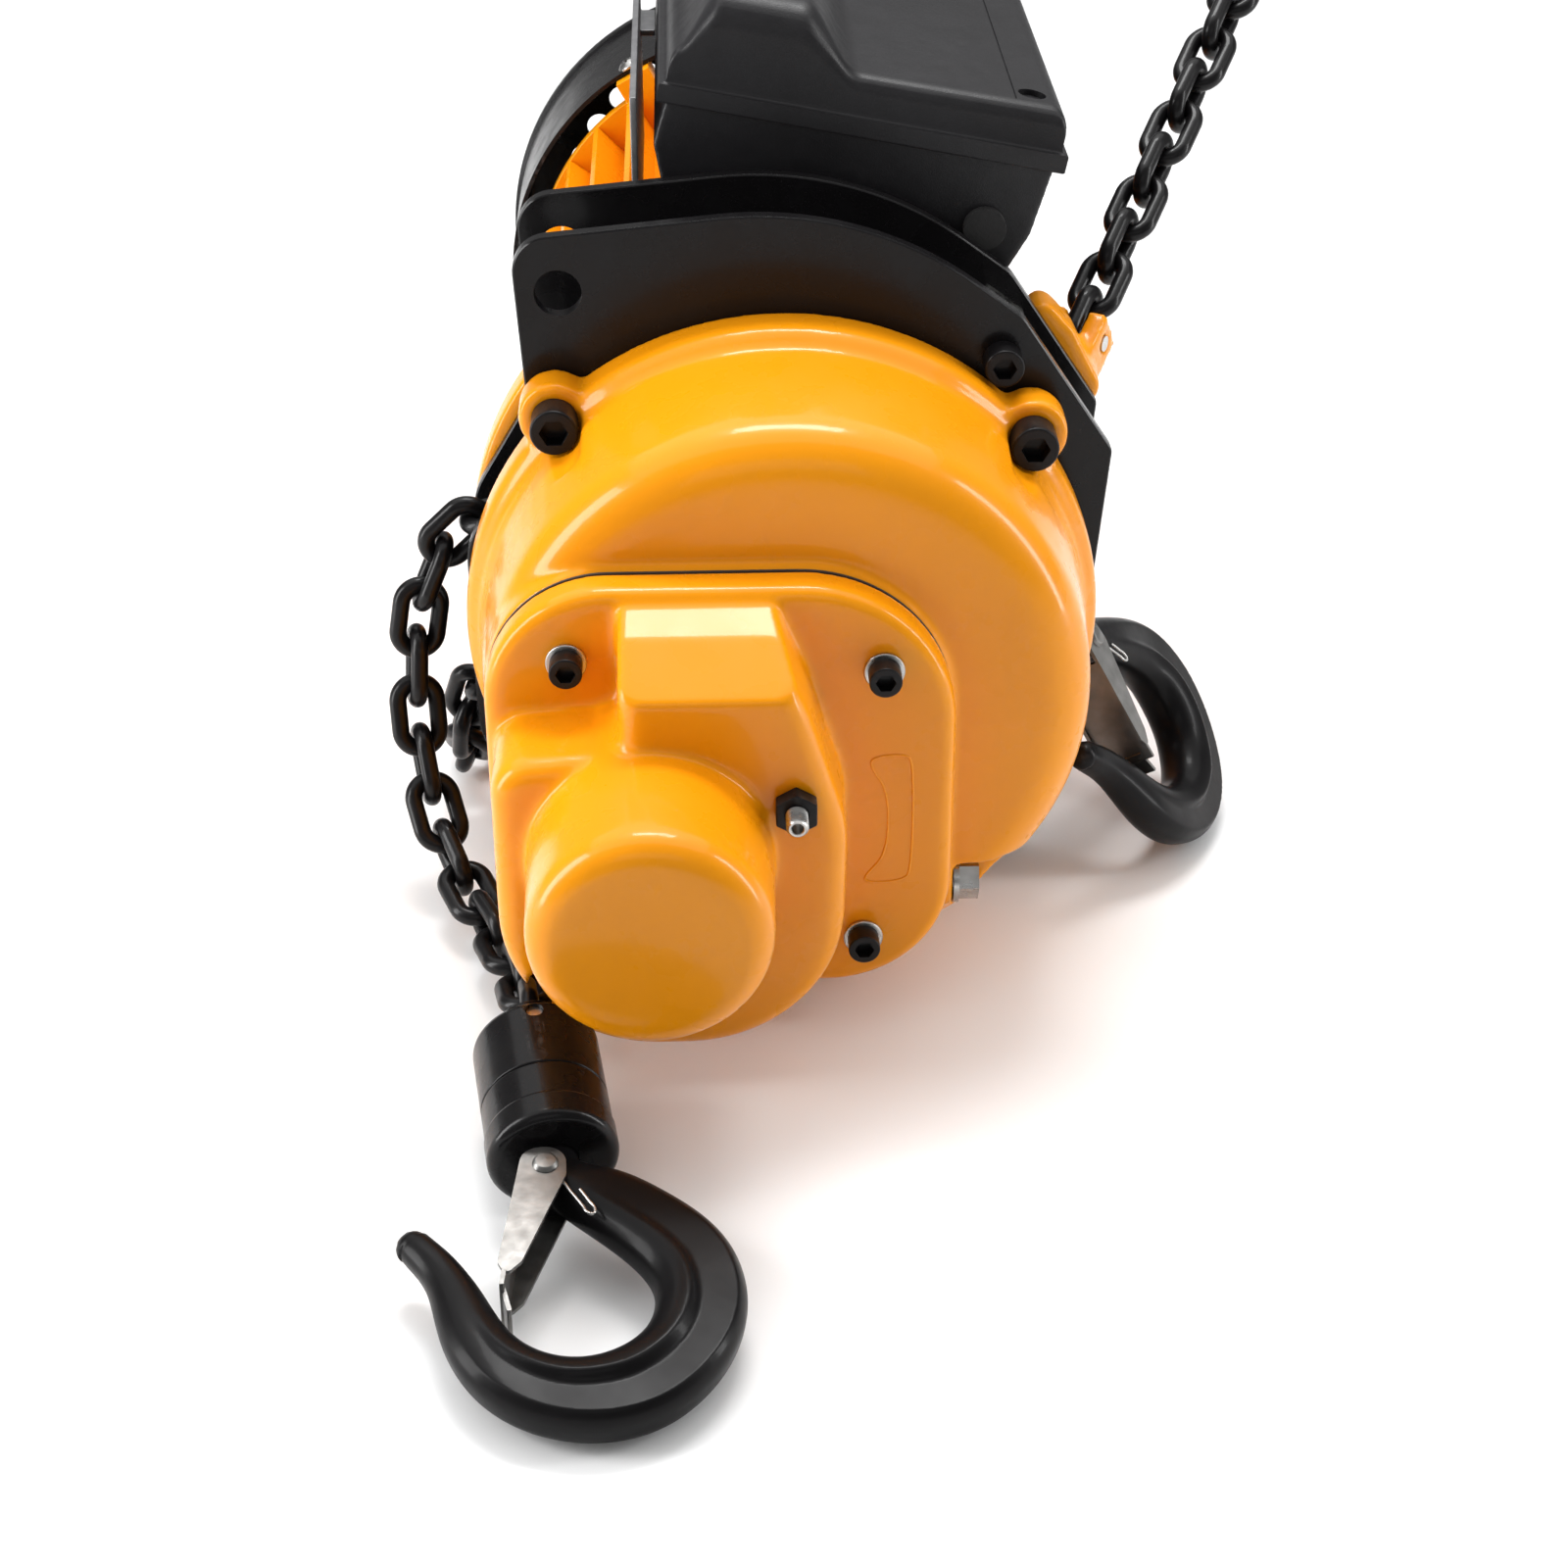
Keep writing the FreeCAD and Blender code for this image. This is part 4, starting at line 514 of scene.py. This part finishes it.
def smooth_line(points, per_span):
    """Catmull-Rom curve through the points as (position, tangent, place) triples."""
    ends = [points[0] * 2 - points[1]] + points + [points[-1] * 2 - points[-2]]
    samples = []
    for i in range(len(points) - 1):
        a, b, c, d = ends[i:i + 4]
        square = a * 2 - b * 5 + c * 4 - d
        cube = b * 3 - a - c * 3 + d
        for k in range(per_span):
            t = k / per_span
            at = (b * 2 + (c - a) * t + square * t ** 2 + cube * t ** 3) * 0.5
            slope = ((c - a) + square * 2 * t + cube * 3 * t ** 2) * 0.5
            samples.append((at, slope.normalized(), i + t))
    return samples


def hook_width(along):
    """Width of the hook's section in metres at a place counted in centre line points."""
    index = min(int(along), len(HOOK_WIDTHS) - 2)
    part = along - index
    return (HOOK_WIDTHS[index] * (1 - part) + HOOK_WIDTHS[index + 1] * part) / 1000.0


def forged_section(mesh, placement):
    """Thin the outer side of the hook, leaving a raised bead round the bowl, and round off the tip."""
    line = smooth_line([Vector((x, z)) / 1000.0 for x, z in HOOK_CENTRE_LINE], 24)
    finder = kdtree.KDTree(len(line))
    for i, (at, _, _) in enumerate(line):
        finder.insert((at.x, at.y, 0.0), i)
    finder.balance()
    last = len(line) - 1
    tip_growth = TIP_RADIUS / hook_width(len(HOOK_WIDTHS) - 1) * 2 - 1.0
    back = placement.inverted()
    for vertex in mesh.vertices:
        local = back @ vertex.co
        if local.z > HOOK_TOP:
            continue
        _, i, _ = finder.find((local.x, local.z, 0.0))
        at, slope, along = line[i]
        offset = Vector((local.x, local.z)) - at
        if 0 < i < last:
            along += offset.dot(slope) * 1000.0 / HOOK_POINT_STEP
        outward = Vector((slope.y, -slope.x))
        across = offset.dot(outward) / hook_width(along)
        web = math.copysign(min(abs(local.y), WEB_HALF), local.y)
        blend = smoothstep(*WEB_START, along) * (1 - smoothstep(*WEB_END, along))
        blend *= smoothstep(*WEB_STEP, across)
        reach = Vector((offset.x, local.y + (web - local.y) * blend, offset.y))
        if i == last and offset.dot(slope) > 0:
            reach *= TIP_RADIUS / reach.length
        else:
            reach *= 1.0 + tip_growth * smoothstep(*TIP_GROWTH, along)
        vertex.co = placement @ Vector((at.x + reach.x, reach.y, at.y + reach.z))


def forged_hook(name, node, swivel, latch):
    piece = softened(name, node, *HOOK_SOFTENING)
    forged_section(piece.data, hook_frame(swivel, latch))


# The spring's coil and leg are in millimetres, in the hook's plane and out along the rivet.
SPRING_COIL = 4.4                     # radius round the rivet
SPRING_SIDE = 9.05                    # distance of the coil from the plane
SPRING_WIRE = 0.00055                 # radius of the wire, in metres
SPRING_LEG = [(-0.2, 9.2, 50), (-3.2, 9.4, 43), (-6.2, 9.5, 36), (-7.6, 9.5, 32.5), (-9.3, 9.5, 31.6),
              (-10.2, 9.5, 33.4), (-8.6, 9.5, 38), (-6.4, 9.5, 43.5)]


def latch_spring(name, body, swivel, latch):
    """Bent wire beside the rivet that pushes the latch shut."""
    placement = hook_frame(swivel, latch)
    coil_x, coil_z = LATCH_PIVOT[0] * 1000, LATCH_PIVOT[1] * 1000
    coil = []
    for k in range(25):
        angle = math.radians(-60 + 300 * k / 24)
        coil.append((coil_x + SPRING_COIL * math.cos(angle), SPRING_SIDE,
                     coil_z + SPRING_COIL * math.sin(angle)))
    curve = bpy.data.curves.new(name, "CURVE")
    curve.dimensions = "3D"
    curve.bevel_depth = SPRING_WIRE
    curve.bevel_resolution = 4
    spline = curve.splines.new("BEZIER")
    points = coil + SPRING_LEG
    spline.bezier_points.add(len(points) - 1)
    for knot, (x, y, z) in zip(spline.bezier_points, points):
        knot.co = placement @ (Vector((x, y, z)) / 1000.0)
        knot.handle_left_type = "AUTO"
        knot.handle_right_type = "AUTO"
    add_piece(name, wire_mesh(name, curve), [], body, "zinc_plate")


forged_hook("load_hook_forging", "load_hook", "load_hook_swivel", "load_latch_open")
forged_hook("suspension_hook_forging", "suspension_hook", "suspension_swivel", "suspension_latch_open")
latch_spring("load_latch_spring", "bottom_hook", "load_hook_swivel", "load_latch_open")
latch_spring("suspension_latch_spring", "top_hook", "suspension_swivel", "suspension_latch_open")


# ---------------------------------------------------------------- adjusting screw and casting mark
def turned(name, profile, centre, node):
    """Surface turned about the Y direction from (radius, y) pairs, in place of a CAD node."""
    segments = 48
    build = bmesh.new()
    rings = []
    for radius, y in profile:
        ring = []
        for k in range(segments):
            angle = 2 * math.pi * k / segments
            place = (centre[0] + radius * math.cos(angle), y, centre[1] + radius * math.sin(angle))
            ring.append(build.verts.new(place))
        rings.append(ring)
    for first, second in zip(rings, rings[1:]):
        for k in range(segments):
            following = (k + 1) % segments
            build.faces.new((first[k], first[following], second[following], second[k]))
    build.faces.new(rings[0])
    build.faces.new(list(reversed(rings[-1])))
    return add_piece(name, finished_mesh(build, name), [node], BODY_OF[node], SLOT_OF[node])


THREAD_PITCH = 0.00125
THREAD_DEPTH = 0.00055
SOCKET_DEPTH = 0.0055


def threaded_screw():
    """Set screw with a rolled thread and an open socket, in the size of its CAD node."""
    low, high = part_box("adjuster_screw")
    centre = ((low[0] + high[0]) / 2, (low[2] + high[2]) / 2)
    radius = (high[0] - low[0]) / 2
    crest = radius - 0.00002
    front, back = low[1], high[1]
    profile = [(0.0019, front + SOCKET_DEPTH), (0.0021, front + 0.0003), (0.0024, front), (0.0031, front)]
    y = front + 0.0006
    while y < back - 0.0016:
        profile += [(radius - THREAD_DEPTH, y), (crest, y + 0.0005), (crest, y + 0.00065)]
        y += THREAD_PITCH
    profile += [(radius - 0.0006, back - 0.0004), (radius - 0.001, back)]
    screw = turned("threaded_adjusting_screw", profile, centre, "adjuster_screw")
    screw.data.set_sharp_from_angle(angle=math.radians(35))


OUTLINE_FACE_Y = -0.1574              # flat face of the gear cover
OUTLINE_POINTS = [
    (-0.0144, 0.1215), (-0.0030, 0.1225), (0.0005, 0.1190), (0.0008, 0.0720), (-0.0022, 0.0665),
    (-0.0165, 0.0660), (-0.0170, 0.0690), (-0.0085, 0.0790), (-0.0085, 0.1060), (-0.0158, 0.1175)]


def casting_outline():
    """Fine raised outline on the face of the gear cover."""
    curve = bpy.data.curves.new("casting_outline", "CURVE")
    curve.dimensions = "3D"
    curve.bevel_depth = 0.00045
    curve.bevel_resolution = 3
    spline = curve.splines.new("NURBS")
    spline.points.add(len(OUTLINE_POINTS) - 1)
    for knot, (x, z) in zip(spline.points, OUTLINE_POINTS):
        knot.co = (x, OUTLINE_FACE_Y, z, 1.0)
    spline.use_cyclic_u = True
    spline.order_u = 3
    mesh = wire_mesh("casting_outline", curve)
    add_piece("casting_outline", mesh, [], BODY_OF["gear_cover"], SLOT_OF["gear_cover"])


threaded_screw()
casting_outline()


# ---------------------------------------------------------------- CAD nodes that stay
REPLACED = {*CAST, *MOULDED, "box_lid", "load_hook", "suspension_hook", "adjuster_screw"}
NO_BEVEL = {"load_chain", "slack_chain", "tail_chain", "end_link", "tail_ring",
            "output_gear", "intermediate_gear", "intermediate_shaft", "motor_shaft", "stator", "fan"}
EDGE_WIDTH = 0.0005
for node in NODES:
    if node not in REPLACED:
        dress_node(node, 0.0 if node in NO_BEVEL else EDGE_WIDTH)


# ---------------------------------------------------------------- stage, lights and camera
def stage_floor():
    """Plain pale floor just under the object."""
    mesh = bpy.data.meshes.new("floor")
    size = 8.0
    corners = [(-size, -size, 0), (size, -size, 0), (size, size, 0), (-size, size, 0)]
    mesh.from_pydata(corners, [], [(0, 1, 2, 3)])
    floor = bpy.data.objects.new("floor", mesh)
    bpy.context.scene.collection.objects.link(floor)
    floor.location.z = cad_low.z - 0.0002
    material, tree, shader, place = new_material("pale_floor")
    tone = spread(tree, noise(tree, place, 3.0), 0.0, 1.0)
    colour = mix_colours(tree, tone, (0.86, 0.86, 0.86), (0.89, 0.89, 0.89))
    tree.links.new(colour, shader.inputs["Base Color"])
    shader.inputs["Roughness"].default_value = 0.75
    mesh.materials.append(material)


def area_light(name, at, target, width, height, power):
    data = bpy.data.lights.new(name, "AREA")
    data.shape = "RECTANGLE"
    data.size = width
    data.size_y = height
    data.energy = power
    lamp = bpy.data.objects.new(name, data)
    lamp.location = at
    lamp.rotation_mode = "QUATERNION"
    lamp.rotation_quaternion = (Vector(target) - Vector(at)).to_track_quat("-Z", "Y")
    bpy.context.scene.collection.objects.link(lamp)


def lights():
    """Soft studio: a wide ceiling behind, a small light above, strips at both sides and a weak fill."""
    world = bpy.data.worlds.new("studio")
    world.use_nodes = True
    background = world.node_tree.nodes["Background"]
    background.inputs["Color"].default_value = (1, 1, 1, 1)
    background.inputs["Strength"].default_value = 0.24
    bpy.context.scene.world = world
    middle = (-0.05, -0.05, 0.12)
    area_light("ceiling", (0.0, 1.6, 3.4), (0.0, 1.2, 0.0), 6.5, 5.5, 150)
    area_light("overhead", (0.0, 0.42, 1.5), middle, 0.75, 0.30, 15)
    area_light("left_strip", (-1.30, -0.30, 0.55), middle, 0.42, 1.2, 20)
    area_light("right_strip", (1.30, -0.20, 0.55), middle, 0.20, 1.2, 11)
    area_light("front_fill", (-0.1, -1.9, 1.2), middle, 1.4, 0.7, 2)


CAMERA_AT = Vector((-0.0776, -1.0144, 0.6463))
CAMERA_LOOK = Vector((0.0300, 0.8475, -0.5299))


def camera():
    data = bpy.data.cameras.new("camera")
    data.sensor_width = 36.0
    data.lens = 63.0
    data.clip_start = 0.02
    seat = bpy.data.objects.new("camera", data)
    seat.location = CAMERA_AT
    seat.rotation_mode = "QUATERNION"
    seat.rotation_quaternion = CAMERA_LOOK.to_track_quat("-Z", "Y")
    bpy.context.scene.collection.objects.link(seat)
    bpy.context.scene.camera = seat


stage_floor()
lights()
camera()
bpy.context.scene.view_settings.view_transform = "Standard"
